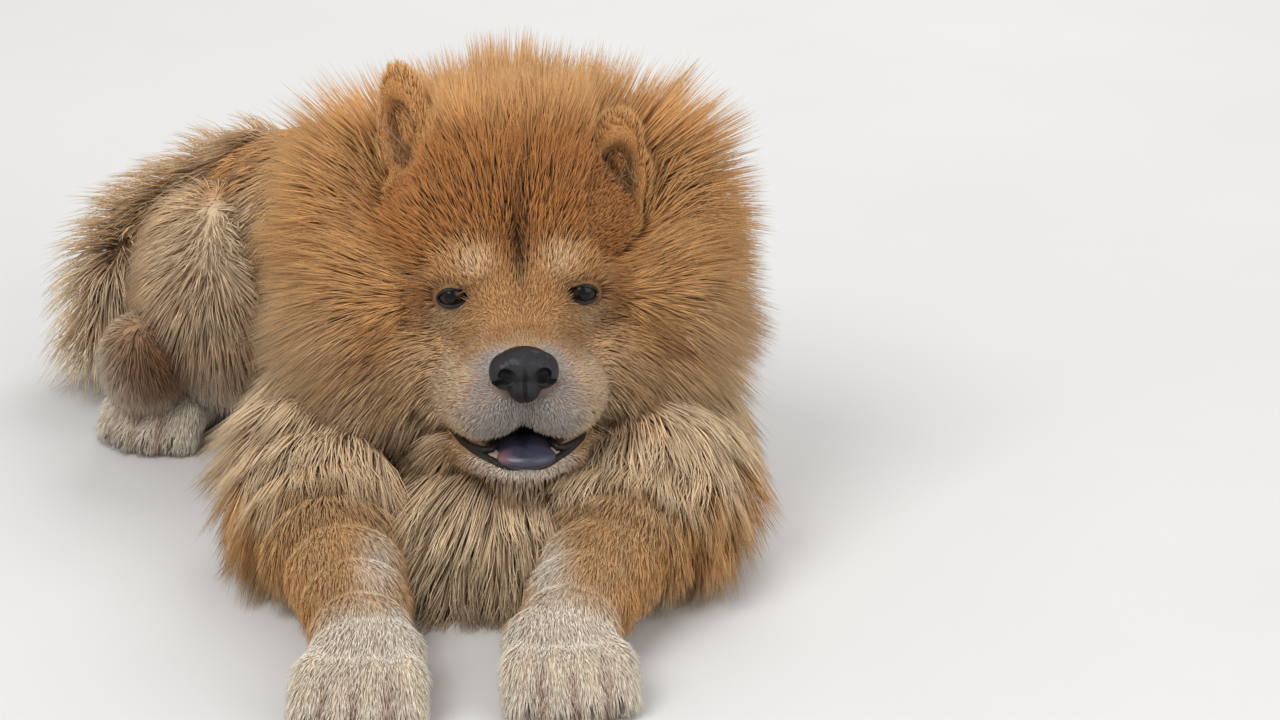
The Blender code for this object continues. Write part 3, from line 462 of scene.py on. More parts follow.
def fused(name, forms, voxel, rounds, detail=3):
    """One smooth closed skin over ellipsoids that overlap."""
    bm = bmesh.new()
    for form in forms:
        bmesh.ops.create_icosphere(bm, subdivisions=detail, radius=1.0, matrix=form)
    mesh = bpy.data.meshes.new(name)
    bm.to_mesh(mesh)
    bm.free()
    obj = mesh_object(name, mesh)
    remesh = obj.modifiers.new("skin", "REMESH")
    remesh.mode = "VOXEL"
    remesh.voxel_size = voxel
    soften = obj.modifiers.new("soften", "SMOOTH")
    soften.factor = 0.5
    soften.iterations = rounds
    return settle(obj)


def places_of(mesh):
    places = np.empty(len(mesh.vertices) * 3, np.float32)
    mesh.vertices.foreach_get("co", places)
    return places.reshape(-1, 3).astype(np.float64)


def move_to(mesh, places):
    mesh.vertices.foreach_set("co", places.astype(np.float32).ravel())
    mesh.update()


def pressed(places, form, strength=1.0):
    """Presses a stamp into a surface from in front: points in the ellipsoid go to its far side."""
    inverse = form.inverted()
    local = applied(places, inverse)
    flat = local[:, 0] ** 2 + local[:, 2] ** 2
    inside = (flat < 1.0) & ((local ** 2).sum(1) < 1.0)
    back = np.sqrt(np.maximum(0.0, 1.0 - flat))
    local[inside, 1] += (back - local[:, 1])[inside] * strength
    moved = places.copy()
    moved[inside] = applied(local, form)[inside]
    return moved


def refine(mesh, near):
    """Splits the faces whose middles near() picks into four, and softens them."""
    bm = bmesh.new()
    bm.from_mesh(mesh)
    faces = [face for face in bm.faces if near(face.calc_center_median())]
    edges = {edge for face in faces for edge in face.edges}
    bmesh.ops.subdivide_edges(bm, edges=list(edges), cuts=1, use_grid_fill=True)
    verts = {vert for face in bm.faces if near(face.calc_center_median()) for vert in face.verts}
    axes = {"use_axis_x": True, "use_axis_y": True, "use_axis_z": True}
    bmesh.ops.smooth_vert(bm, verts=list(verts), factor=0.5, **axes)
    bm.to_mesh(mesh)
    bm.free()


# ---------------------------------------------------------------- materials


class Value:
    """A socket that takes part in sums: each operator adds the Math node for it."""

    def __init__(self, look, socket):
        self.look = look
        self.socket = socket

    def _math(self, operation, *values):
        return self.look.number("ShaderNodeMath", {"operation": operation}, values, "Value")

    def __add__(self, other):
        return self._math("ADD", self, other)

    __radd__ = __add__

    def __sub__(self, other):
        return self._math("SUBTRACT", self, other)

    def __rsub__(self, other):
        return self._math("SUBTRACT", other, self)

    def __mul__(self, other):
        return self._math("MULTIPLY", self, other)

    __rmul__ = __mul__

    def within(self, low, high):
        """0 below low, 1 above high, and smooth between them."""
        settings = {"interpolation_type": "SMOOTHSTEP"}
        values = {"Value": self, "From Min": low, "From Max": high}
        return self.look.number("ShaderNodeMapRange", settings, values, "Result")


class Look:
    """A material in the making, whose nodes are added by one method."""

    def __init__(self, name, **constants):
        self.material = bpy.data.materials.new(name)
        self.material.use_nodes = True
        self.tree = self.material.node_tree
        self.shader = self.tree.nodes["Principled BSDF"]
        for socket, value in constants.items():
            self.shader.inputs[socket.replace("_", " ")].default_value = value

    def node(self, kind, settings=None, values=()):
        """Adds a node: its settings first, then the value or link of each socket. Returns its outputs."""
        made = self.tree.nodes.new(kind)
        for key, value in (settings or {}).items():
            setattr(made, key, value)
        pairs = values.items() if isinstance(values, dict) else enumerate(values)
        for key, value in pairs:
            self.set(made.inputs[key], value)
        return made.outputs

    def number(self, kind, settings, values, output):
        """Adds a node, and returns one of its outputs ready for sums."""
        return Value(self, self.node(kind, settings, values)[output])

    def set(self, socket, value):
        """Links a socket, or sets it where the value is a constant."""
        if isinstance(value, Value):
            value = value.socket
        if isinstance(value, bpy.types.NodeSocket):
            self.tree.links.new(value, socket)
        else:
            socket.default_value = value

    def out(self, name, value):
        """Feeds one socket of the shader."""
        self.set(self.shader.inputs[name], value)

    def places(self):
        return self.node("ShaderNodeTexCoord")["Object"]

    def noise(self, scale, detail=3.0, roughness=0.55):
        values = {"Vector": self.places(), "Scale": scale, "Detail": detail, "Roughness": roughness}
        return self.number("ShaderNodeTexNoise", {}, values, "Fac")

    def away_from(self, place):
        """How far each point is off a place."""
        values = (self.places(), tuple(place))
        return self.number("ShaderNodeVectorMath", {"operation": "DISTANCE"}, values, "Value")

    def mix(self, factor, a, b, blend="MIX"):
        """A colour between a and b."""
        made = self.tree.nodes.new("ShaderNodeMix")
        made.data_type = "RGBA"
        made.blend_type = blend
        self.set(made.inputs[0], factor)
        self.set(made.inputs[6], a)
        self.set(made.inputs[7], b)
        return made.outputs[2]

    def painted(self):
        """The colour kept in the mesh."""
        return self.node("ShaderNodeAttribute", {"attribute_name": "Coat"})["Color"]

    def bump(self, height, depth, strength=1.0):
        values = {"Height": height, "Distance": depth, "Strength": strength}
        self.out("Normal", self.node("ShaderNodeBump", {}, values)["Normal"])


def rgba(colour):
    return (*colour[:3], 1.0)


def coat_look():
    """Hair: its painted colour, uneven along each tuft, with a soft sheen."""
    look = Look("coat_hair", Sheen_Weight=0.06, Sheen_Roughness=0.4, Specular_IOR_Level=0.22)
    fine = look.noise(900.0, 2.0)
    broad = look.noise(38.0, 3.0)
    shade = (fine - 0.5) * 0.35 + (broad - 0.5) * 0.30 + 1.0
    grey = look.node("ShaderNodeCombineColor", {}, (shade, shade, shade))["Color"]
    look.out("Base Color", look.mix(1.0, look.painted(), grey, "MULTIPLY"))
    look.out("Roughness", 0.5 + fine * 0.22)
    look.bump(fine, 0.0006, 0.35)
    return look.material


def skin_look():
    """Skin and underwool: the coat's colours, woolly."""
    look = Look("skin_and_underwool", Specular_IOR_Level=0.3)
    wool = look.noise(420.0, 4.0, 0.7)
    grey = look.node("ShaderNodeCombineColor", {}, (wool * 0.5 + 0.75,) * 3)["Color"]
    look.out("Base Color", look.mix(1.0, look.painted(), grey, "MULTIPLY"))
    look.out("Roughness", 0.62 + wool * 0.25)
    look.bump(wool, 0.0008, 0.6)
    return look.material


def finish(obj, look, slot):
    """Sets obj's surface and body; the slot is not used."""
    obj.data.materials.clear()
    obj.data.materials.append(look)
    obj.data.shade_smooth()
    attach(obj, "root")
    return obj


# ---------------------------------------------------------------- skin


def distances(places, forms):
    """How far each point is off the nearest of some ellipsoids, about, with inside below 0."""
    least = np.full(len(places), 9.0)
    for form in forms:
        local = applied(places, form.inverted())
        size = np.linalg.norm(local, axis=1)
        reach = np.linalg.norm(places - np.array(form.translation), axis=1)
        least = np.minimum(least, (1 - 1 / np.maximum(size, 1e-6)) * reach)
    return least


def around_limb(name, base, stations, comb, count):
    """Guides round a limb at each station: place, way, sizes and colours as on the head."""
    for i, ((x, y, z, wide, high), ahead) in enumerate(stations_between(stations, count)):
        fitting = next(row for row in comb if i / (count - 1) <= row[0])
        _, length, width, gap, along, outward, hang, *bends, root, top, side_tip, low = fitting
        side = ahead.cross(Vector((0.0, 0.0, 1.0))).normalized()
        above = side.cross(ahead)
        for turn in range(0, 360, 60):
            across, up = math.cos(math.radians(turn)), math.sin(math.radians(turn))
            spoke = side * across + above * up
            place = Vector((x, y, z)) + side * wide * across + above * high * up
            way = ahead * along + spoke * outward - Vector((0.0, 0.0, hang))
            tip = top if spoke.z > 0.6 else low if spoke.z < -0.6 else side_tip
            yield name, base @ place, base.to_3x3() @ way, (length, width, gap, *bends), root, tip


def guides():
    """Every guide of the comb, in the frame of the whole."""
    turned = HEAD.to_3x3()
    rows = [(tuple(value / 1000 for value in place), *rest) for place, *rest in HEAD_COMB]
    for place, (across, back, up), *sizes, root, tip in mirrored(rows):
        way = Vector((-across if place.x < 0 else across, back, up))
        yield "head", HEAD @ place, turned @ way, tuple(sizes), root, tip
    for place, way, *sizes, root, tip in BIB_COMB:
        yield "bib", BODY @ Vector(place), Vector(way), tuple(sizes), root, tip
    for name, stations in LIMBS.items():
        yield from around_limb(name, BODY, stations, LIMB_COMB[name], 7)
    for name, (*_, width) in PAWS.items():
        for toe in toe_lines(width):
            yield from around_limb(name, paw_frame(name), toe, PAW_COMB, 3)
    for side in SIDES:
        line = [(0.0, 0.004, -0.010, 0.02, 0.011), (0.0, 0.004, 0.05, 0.012, 0.008)]
        yield from around_limb("ear_" + side, ear_frame(side), line, EAR_COMB, 3)


def palette():
    """The coat's colours, by name."""
    names = ("red", "gold", "tan", "cream", "white", "silver", "brown", "dark")
    return {name: np.array(getattr(bpy.context.scene.chow_colours, name)) for name in names}


def comb(places, regions):
    """Blends the guides near each point: the hair's way, its sizes, and its root and tip colours.

    The last result says how near each region's flesh is to each point.
    """
    paints = palette()
    rows = list(guides())
    spots = np.array([row[1] for row in rows])
    ways = unit(np.array([row[2] for row in rows]))
    facts = np.array([(*row[3], *paints[row[4]], *paints[row[5]]) for row in rows])
    names = list(regions)
    owner = np.array([names.index(row[0]) for row in rows])
    belongs = np.stack([distances(places, forms) for forms in regions.values()], 1)
    belongs = np.exp(-(belongs - belongs.min(1, keepdims=True)) / 0.007)
    out_way, out_facts = [], []
    for start in range(0, len(places), 20000):
        part = slice(start, start + 20000)
        away = ((places[part, None, :] - spots[None]) ** 2).sum(2)
        weight = belongs[part][:, owner] / (away + 0.006 ** 2) ** 2
        weight /= weight.sum(1, keepdims=True)
        out_way.append(unit(weight @ ways))
        out_facts.append(weight @ facts)
    facts = np.concatenate(out_facts)
    root, tip = marked(places, facts[:, 6:9], facts[:, 9:12], paints)
    return np.concatenate(out_way), facts[:, :6], root, tip, belongs


# Used for the coat's own marks, the skin between the toes, and painted shade in creases, at the knee and in
# the ears' cups.
def tinted_or_shaded(root, tip, share, root_tint_or_shade, tip_tint_or_shade):
    """Draws the root and tip colours towards two others, by each point's share."""
    share = share[:, None]
    return root + (root_tint_or_shade - root) * share, tip + (tip_tint_or_shade - tip) * share


def marked(places, root, tip, paints):
    """Adds the marks of the face and body, some of which are painted shade in creases and at the knee,
    painted shade in the ears' cups, and the skin between the toes.
    """
    local = applied(places, HEAD.inverted())
    for centre, radii, name, strength in mirrored(MARKS):
        away = (((local - np.array(centre)) / np.array(radii)) ** 2).sum(1)
        root, tip = tinted_or_shaded(root, tip, strength * np.exp(-away), paints[name], paints[name])
    local = applied(places, BODY.inverted())
    for centre, radii, name, strength in BODY_MARKS:
        away = (((local - np.array(centre)) / np.array(radii)) ** 2).sum(1)
        share = strength * np.exp(-(away ** 1.5))
        # Roots take 0.8 of each body mark's colour: painted shade at the roots.
        root, tip = tinted_or_shaded(root, tip, share, paints[name] * 0.8, paints[name])
    # Painted shade in each ear's cup: the hair on its front drawn to a dark brown.
    for side in SIDES:
        x, y, z = applied(places, ear_frame(side).inverted()).T
        share = 0.9 * np.exp(-(((x / 0.0135) ** 2 + ((z - 0.013) / 0.024) ** 2) ** 2))
        share = share * (y < 0.004) * (y > -0.02)
        root, tip = tinted_or_shaded(root, tip, share, paints["brown"] * 0.35, paints["brown"] * 0.6)
    for name, (*_, width) in PAWS.items():
        x, y, z = applied(places, paw_frame(name).inverted()).T
        between = sum(np.exp(-(((x - i * width * 0.235) / 0.0028) ** 2)) for i in (-1, 0, 1))
        share = 0.75 * between * np.clip((-0.012 - y) / 0.012, 0, 1)
        share = share * (np.abs(x) < 0.04) * (y > -0.07) * np.clip((0.036 - z) / 0.01, 0, 1)
        root, tip = tinted_or_shaded(root, tip, share, np.array(TOE_SKIN), np.array(TOE_HAIR))
    return root, tip


def paint(mesh, colours):
    """Keeps a colour for each point of a mesh."""
    layer = mesh.color_attributes.new("Coat", "FLOAT_COLOR", "POINT")
    rows = np.column_stack([np.clip(colours, 0, 1), np.ones(len(colours))])
    layer.data.foreach_set("color", rows.astype(np.float32).ravel())


def unwrap(obj):
    """Lays out obj's own surface as the map OFBake."""
    bpy.context.view_layer.objects.active = obj
    obj.select_set(True)
    obj.data.uv_layers.new(name="OFBake")
    bpy.ops.object.mode_set(mode="EDIT")
    bpy.ops.mesh.select_all(action="SELECT")
    bpy.ops.uv.smart_project(angle_limit=math.radians(72), island_margin=0.001)
    bpy.ops.object.mode_set(mode="OBJECT")
    obj.select_set(False)


# Where the mouth's line lies: how far off the middle, and how high, in the head's frame
LIP_HEIGHTS = (
    (0.0, 0.010, 0.022, 0.034, 0.043, 0.052, 0.060),
    (-0.0440, -0.0490, -0.0535, -0.0525, -0.0480, -0.0400, -0.0320),
)


def near_face(place):
    """Whether a point is on the front of the head."""
    local = HEAD.inverted() @ place
    return local.y < 0.092 and abs(local.x) < 0.072 and -0.09 < local.z < 0.085


def near_eyes_and_mouth(place):
    local = HEAD.inverted() @ place
    eye = (Vector((abs(local.x), local.y, local.z)) - Vector((0.0395, 0.068, 0.0345))).length < 0.022
    mouth = local.y < 0.078 and -0.064 < local.z < -0.028 and abs(local.x) < 0.046
    return eye or mouth


SKIN_VOXEL = 0.0042
SKIN_LOWEST = 0.0006

# An eye's middle, its radius, and the half width, depth and height of the opening between the lids
EYE = Vector((0.0395, 0.074, 0.0345))
EYE_RADIUS = 0.0115
SLIT = (0.0092, 0.0105, 0.0056)


def eye_turn(side):
    """How the opening between the lids is turned."""
    return Euler((0.0, side * math.radians(6), side * math.radians(16)))


def eye_place(side):
    return Vector((side * EYE.x, EYE.y, EYE.z))


def sculpt(places):
    """Presses the head's fine forms: the lids' openings, the ears' cups, furrow, creases and mouth."""
    for side in SIDES.values():
        centre = eye_place(side) + Vector((0.0, -EYE_RADIUS, 0.0))
        places = pressed(places, ellipsoid(HEAD, centre, SLIT, eye_turn(side)))
    for side in SIDES:
        places = pressed(places, ellipsoid(ear_frame(side), *EAR_CUP))
    places = pressed(places, ellipsoid(HEAD, (0.0, 0.018, -0.0475), (0.030, 0.036, 0.0068)))
    local = applied(places, HEAD.inverted())
    x, y, z = local.T
    furrow = np.exp(-((x / 0.0035) ** 2)) * np.exp(-(((z - 0.070) / 0.020) ** 2)) * (y < 0.11)
    local[:, 1] += 0.006 * furrow
    for side in SIDES.values():
        slope = (z - 0.020 + 0.35 * (side * x - 0.055)) / 0.005
        crease = np.exp(-(slope ** 2 + ((side * x - 0.058) / 0.012) ** 2))
        local[:, 1] += 0.005 * crease * (y < 0.11)
    return applied(local, HEAD)


class CHOW_OT_skin(bpy.types.Operator):
    """Makes the one skin under the coat, with lids, lips and ears"""

    bl_idname = "chow.skin"
    bl_label = "Skin"

    def execute(self, context):
        regions = flesh()
        forms = [form for group in regions.values() for form in group]
        skin = fused("skin", forms, SKIN_VOXEL, 3)
        refine(skin.data, near_face)
        refine(skin.data, near_eyes_and_mouth)
        places = sculpt(places_of(skin.data))
        places[:, 2] = np.maximum(places[:, 2], SKIN_LOWEST)
        move_to(skin.data, places)
        unwrap(skin)
        _, _, root, tip, _ = comb(places, regions)
        # The skin takes mostly the roots' darker colour: painted shade in the gaps between the tufts, over
        # the coat's own marks.
        paint(skin.data, root * 0.75 + tip * 0.25)
        finish(skin, skin_look(), "red_coat")
        bare = ("nose", "tongue", "eye_r", "eye_l")
        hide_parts(*[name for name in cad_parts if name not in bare])
        return {"FINISHED"}


# ---------------------------------------------------------------- coat

# Each coat piece takes the tufts of some regions whose length is from one number up to another, and
# the name of a slot
PIECES = {
    "coat_face": (("head",), 0.0, 0.0095, "red_coat"),
    "coat_brow_and_cheek": (("head",), 0.0095, 0.030, "red_coat"),
    "coat_ruff_inner": (("head",), 0.030, 0.047, "red_coat"),
    "coat_ruff_outer": (("head",), 0.047, 1.0, "red_coat"),
    "coat_ears": (("ear_r", "ear_l"), 0.0, 1.0, "red_coat"),
    "coat_back": (("trunk", "nape"), 0.0, 1.0, "red_coat"),
    "coat_bib": (("bib",), 0.0, 1.0, "cream_coat"),
    "coat_foreleg_r": (("foreleg_r",), 0.0, 1.0, "red_coat"),
    "coat_foreleg_l": (("foreleg_l",), 0.0, 1.0, "red_coat"),
    "coat_forepaws": (("forepaw_r", "forepaw_l"), 0.0, 1.0, "paw_coat"),
    "coat_hindlegs": (("thigh_r", "thigh_l", "shank_r", "shank_l"), 0.0, 1.0, "cream_coat"),
    "coat_hindpaws": (("hindpaw_r", "hindpaw_l"), 0.0, 1.0, "paw_coat"),
    "coat_tail": (("tail",), 0.0, 1.0, "red_coat"),
}

# A tuft's rings: place along it and width. Long, wavy hair has one more, where there are few tufts
SHORT_STEPS = ((0.0, 0.85), (0.5, 0.9))
LONG_STEPS = ((0.0, 0.75), (0.3, 1.0), (0.68, 0.66))
LONG_HAIR = 0.018
WAVY_HAIR = 0.18
FEW_TUFTS = 11500

# How far past the solids' box a tuft may reach, in box sides, how low it may lie, and its patch on the map
BOX_MARGIN = 0.022
TUFT_LOWEST = 0.0008
TUFT_PATCH = 0.003


class Roots:
    """Where each tuft grows from the skin, and how."""

    def __init__(self, skin, regions, settings):
        chance = np.random.default_rng(SEED)
        mesh = skin.data
        mesh.calc_loop_triangles()
        count = len(mesh.loop_triangles)
        corners = np.empty(count * 3, np.int32)
        mesh.loop_triangles.foreach_get("vertices", corners)
        loops = np.empty(count * 3, np.int32)
        mesh.loop_triangles.foreach_get("loops", loops)
        normals = np.empty(len(mesh.vertices) * 3, np.float32)
        mesh.vertices.foreach_get("normal", normals)
        flat = np.empty(len(mesh.loops) * 2, np.float32)
        mesh.uv_layers["OFBake"].data.foreach_get("uv", flat)
        corners, loops = corners.reshape(-1, 3), loops.reshape(-1, 3)
        normals, flat = normals.reshape(-1, 3), flat.reshape(-1, 2)
        places = places_of(mesh)
        triangles = places[corners]
        middles = triangles.mean(1)
        spans = np.cross(triangles[:, 1] - triangles[:, 0], triangles[:, 2] - triangles[:, 0])
        areas = np.linalg.norm(spans, axis=1) / 2
        ways, facts, root, tip, belongs = comb(middles, regions)
        gap = facts[:, 2] / 1000 * settings.spacing
        under = normals[corners].mean(1)[:, 2] < -0.7
        wanted = areas / gap ** 2 * covered(middles) * np.where(under, 0.2, 1.0)
        total = int(wanted.sum())
        marks = (np.arange(total) + chance.random(total)) * wanted.sum() / total
        picks = np.minimum(np.searchsorted(np.cumsum(wanted), marks), count - 1)
        a, b = chance.random(total), chance.random(total)
        a, b = np.where(a + b > 1, 1 - a, a), np.where(a + b > 1, 1 - b, b)
        share = np.stack([1 - a - b, a, b], 1)[:, :, None]
        self.place = (triangles[picks] * share).sum(1)
        self.normal = unit((normals[corners[picks]] * share).sum(1))
        self.map = (flat[loops[picks]] * share).sum(1)
        self.way, self.root, self.tip = ways[picks], root[picks], tip[picks]
        self.length = facts[picks, 0] / 1000 * settings.length
        self.width = facts[picks, 1] / 1000 * settings.thickness
        self.rise, self.droop, self.wave = facts[picks, 3:6].T
        self.region = belongs[picks].argmax(1)
        free = [list(regions).index(name) for name in ("head", "bib", "tail", "nape")]
        self.loose = np.isin(self.region, free)
        self.settings = settings
        self.bend(chance)

    def bend(self, chance):
        """Finds each tuft's middle and tip, astray by chance and drawn together into locks."""
        count = len(self.place)
        stray = self.settings.unruliness
        way = unit(self.way + chance.normal(0, stray, (count, 3)))
        off = (way * self.normal).sum(1, keepdims=True)
        flat = way - self.normal * off
        size = np.linalg.norm(flat, axis=1, keepdims=True)
        down = self.normal * self.normal[:, 2:] - np.array((0.0, 0.0, 1.0))
        flat = unit(flat + down * np.clip(0.85 - size, 0.0, 1.0) * 2.0)
        off = np.clip(off, 0.18, np.where(self.loose, 1.0, 0.34)[:, None])
        way = unit(flat * np.sqrt(1.0001 - off ** 2) + self.normal * off)
        self.length = self.length * chance.uniform(0.68, 1.12, count)
        self.length *= self.kept(self.place + way * self.length[:, None])
        length = self.length[:, None]
        start = unit(way + self.normal * self.rise[:, None] * 1.5)
        self.middle = self.place + start * length * 0.5
        self.end = self.middle + way * length * 0.5
        self.end[:, 2] -= self.length * self.droop
        spread = np.clip(self.length * 0.20, 0.0018, 0.012)
        chosen = np.flatnonzero(chance.random(count) < (self.settings.spacing * 0.0022 / spread) ** 2 * 1.3)
        tree = KDTree(len(chosen))
        for i, place in enumerate(self.place[chosen]):
            tree.insert(place, i)
        tree.balance()
        lock = chosen[[tree.find(place)[1] for place in self.place]]
        close = np.exp(-(np.linalg.norm(self.place - self.place[lock], axis=1) / (spread * 1.6)) ** 2)
        longer = np.clip((self.length - 0.008) / 0.035, 0.15, 1.0)
        draw = self.settings.clumping * longer * np.clip(0.5 + self.wave, 0.5, 1.0)
        draw = np.minimum((draw * close * chance.uniform(0.5, 1.3, count))[:, None], 0.85)
        self.end += (self.end[lock] - self.end) * draw
        self.middle += (self.middle[lock] - self.middle) * draw * 0.35
        phase = chance.uniform(0, math.tau, count)[lock] + chance.normal(0, 0.4, count)
        across = unit(np.cross(way, self.normal))
        sway = across * (self.wave * self.length * 0.20 * np.sin(phase))[:, None]
        self.middle += sway
        self.end -= sway * 0.6
        tone = chance.normal(1.0, 0.10, count) * chance.normal(1.0, 0.09, count)[lock]
        self.tone = np.clip(tone, 0.62, 1.4)
        self.place = self.place - self.normal * np.minimum(0.0015, self.length * 0.2)[:, None]


    def kept(self, ends):
        """How much of each tuft's length is kept: little before an ear's face or over the lips."""
        share = np.ones(len(ends))
        for side in SIDES:
            back = ear_frame(side).inverted()
            for spots in (self.place, (self.place + ends) / 2, ends):
                x, y, z = applied(spots, back).T
                before = (y < -0.002) & (y > -0.055) & ((x / 0.025) ** 2 + ((z - 0.020) / 0.040) ** 2 < 1)
                share[before] = np.minimum(share[before], 0.28)
        x, y, z = applied(self.place, HEAD.inverted()).T
        line = np.interp(np.abs(x), *LIP_HEIGHTS)
        above = (z > line) & (z < line + 0.014) & (y < 0.10) & (np.abs(x) < 0.058)
        share[above] = np.minimum(share[above], np.clip((z - line) / 0.014, 0.35, 1.0)[above])
        return share


def covered(places):
    """How much of the coat grows at each point: none on the lids, lips, nose and mouth."""
    local = applied(places, HEAD.inverted())
    share = np.ones(len(places))
    mirror = local.copy()
    mirror[:, 0] = np.abs(local[:, 0])
    eye = ((mirror - np.array((0.0395, 0.066, 0.0345))) / np.array((0.0110, 0.016, 0.0068))) ** 2
    share[eye.sum(1) < 1] = 0.0
    nose = ((local - np.array((0.0, 0.010, 0.0))) / np.array((0.0215, 0.014, 0.0175))) ** 2
    share[nose.sum(1) < 1] = 0.0
    mouth = ((local - np.array((0.0, 0.030, -0.0490))) / np.array((0.033, 0.034, 0.0066))) ** 2
    share[mouth.sum(1) < 1] = 0.0
    lips = np.abs(local[:, 2] - np.interp(mirror[:, 0], *LIP_HEIGHTS)) < 0.0026
    share[lips & (local[:, 1] < 0.10) & (mirror[:, 0] < 0.060)] = 0.0
    share[places[:, 2] < 0.004] = 0.15
    for side in SIDES:
        centre, radii = EAR_CUP
        inside = applied(places, ellipsoid(ear_frame(side), centre, [r * 1.04 for r in radii]).inverted())
        share[(inside ** 2).sum(1) < 1] = 0.5
    return share


def tufts(name, roots, which):
    """One mesh of closed, flat, tapered tufts, three-sided, from root to tip."""
    count = len(which)
    length = roots.length[which]
    long_and_wavy = length.mean() > LONG_HAIR and roots.wave[which].mean() > WAVY_HAIR
    steps = LONG_STEPS if long_and_wavy and count < FEW_TUFTS else SHORT_STEPS
    start, middle, end = roots.place[which], roots.middle[which], roots.end[which]
    width = roots.width[which]
    rings, colours = [], []
    root, tip, tone = roots.root[which], roots.tip[which], roots.tone[which][:, None]
    for t, wide in steps:
        here = start * (1 - t) ** 2 + middle * 2 * t * (1 - t) + end * t ** 2
        ahead = unit((middle - start) * (1 - t) + (end - middle) * t)
        across = unit(np.cross(ahead, roots.normal[which]))
        above = np.cross(across, ahead)
        edge = across * (width * wide / 2)[:, None]
        ridge = above * (width * wide * 0.45)[:, None]
        rings += [here - edge, here + ridge, here + edge]
        # Colour along each tuft, from root to tip: the pale tips are the coat's own, and the darker roots are
        # partly painted shade among the hair.
        shade = (root + (tip - root) * min(1.0, t * 1.1 + 0.3)) * tone
        colours += [shade] * 3
    rings.append(end)
    colours.append(tip * tone * 1.08)
    places = np.stack(rings, 1)
    low, high = (np.array(corner) for corner in SOLIDS_BOX)
    margin = (high - low) * BOX_MARGIN
    places = np.clip(places, low - margin, high + margin)
    each = places.shape[1]
    places[:, :, 2] = np.maximum(places[:, :, 2], TUFT_LOWEST + 0.0004 * np.arange(each) % 0.0012)
    ring = len(steps)
    quads, triangles = [], [(0, 1, 2)]
    for k in range(ring - 1):
        for i in range(3):
            j = (i + 1) % 3
            quads.append((3 * k + j, 3 * k + i, 3 * k + 3 + i, 3 * k + 3 + j))
    last = 3 * (ring - 1)
    for i in range(3):
        triangles.append((last + (i + 1) % 3, last + i, 3 * ring))
    pattern = [corner for face in quads + triangles for corner in face]
    sizes = [len(face) for face in quads + triangles]
    mesh = bpy.data.meshes.new(name)
    mesh.vertices.add(count * each)
    mesh.vertices.foreach_set("co", places.astype(np.float32).ravel())
    corners = (np.array(pattern)[None] + np.arange(count)[:, None] * each).ravel()
    mesh.loops.add(len(corners))
    mesh.loops.foreach_set("vertex_index", corners.astype(np.int32))
    starts = np.concatenate([[0], np.cumsum(np.tile(sizes, count))[:-1]])
    mesh.polygons.add(count * len(sizes))
    mesh.polygons.foreach_set("loop_start", starts.astype(np.int32))
    patch = [((i % 3) / 2 - 0.5, i // 3 / ring - 0.5) for i in range(3 * ring)] + [(0.0, 0.5)]
    patch = np.array(patch) * TUFT_PATCH
    spots = (roots.map[which][:, None, :] + patch[None])[:, pattern].reshape(-1, 2)
    mesh.update()
    layer = mesh.uv_layers.new(name="OFBake")
    layer.data.foreach_set("uv", np.clip(spots, 0.0005, 0.9995).astype(np.float32).ravel())
    paint(mesh, np.stack(colours, 1).reshape(-1, 3))
    return mesh_object(name, mesh)


class CHOW_OT_coat(bpy.types.Operator):
    """Grows the coat from the skin, in tufts that follow its lie"""

    bl_idname = "chow.coat"
    bl_label = "Coat"

    def execute(self, context):
        regions = flesh()
        names = list(regions)
        roots = Roots(bpy.data.objects["skin"], regions, context.scene.chow_coat)
        look = coat_look()
        for name, (groups, least, most, slot) in PIECES.items():
            group = np.isin(roots.region, [names.index(region) for region in groups])
            reach = roots.length / roots.settings.length
            which = np.flatnonzero(group & (reach >= least) & (reach < most))
            finish(tufts(name, roots, which), look, slot)
        return {"FINISHED"}


# ---------------------------------------------------------------- eyes, nose and mouth


def eye_look(name, centre, gaze):
    """A dark eye: pupil, iris and rim by the angle from the gaze, under a wet surface."""
    colours = bpy.context.scene.chow_colours
    look = Look(name, Roughness=0.06, IOR=1.33)
    away = look.away_from(centre + gaze * EYE_RADIUS)
    streaks = look.noise(700.0, 3.0)
    iris = look.mix(streaks, rgba(colours.iris), rgba(np.array(colours.iris) * 0.35))
    inner = look.mix(away.within(0.0036, 0.0044), (0.002, 0.002, 0.002, 1.0), iris)
    rim = look.mix(away.within(0.0068, 0.0082), inner, (0.012, 0.008, 0.007, 1.0))
    look.out("Base Color", rim)
    return look.material


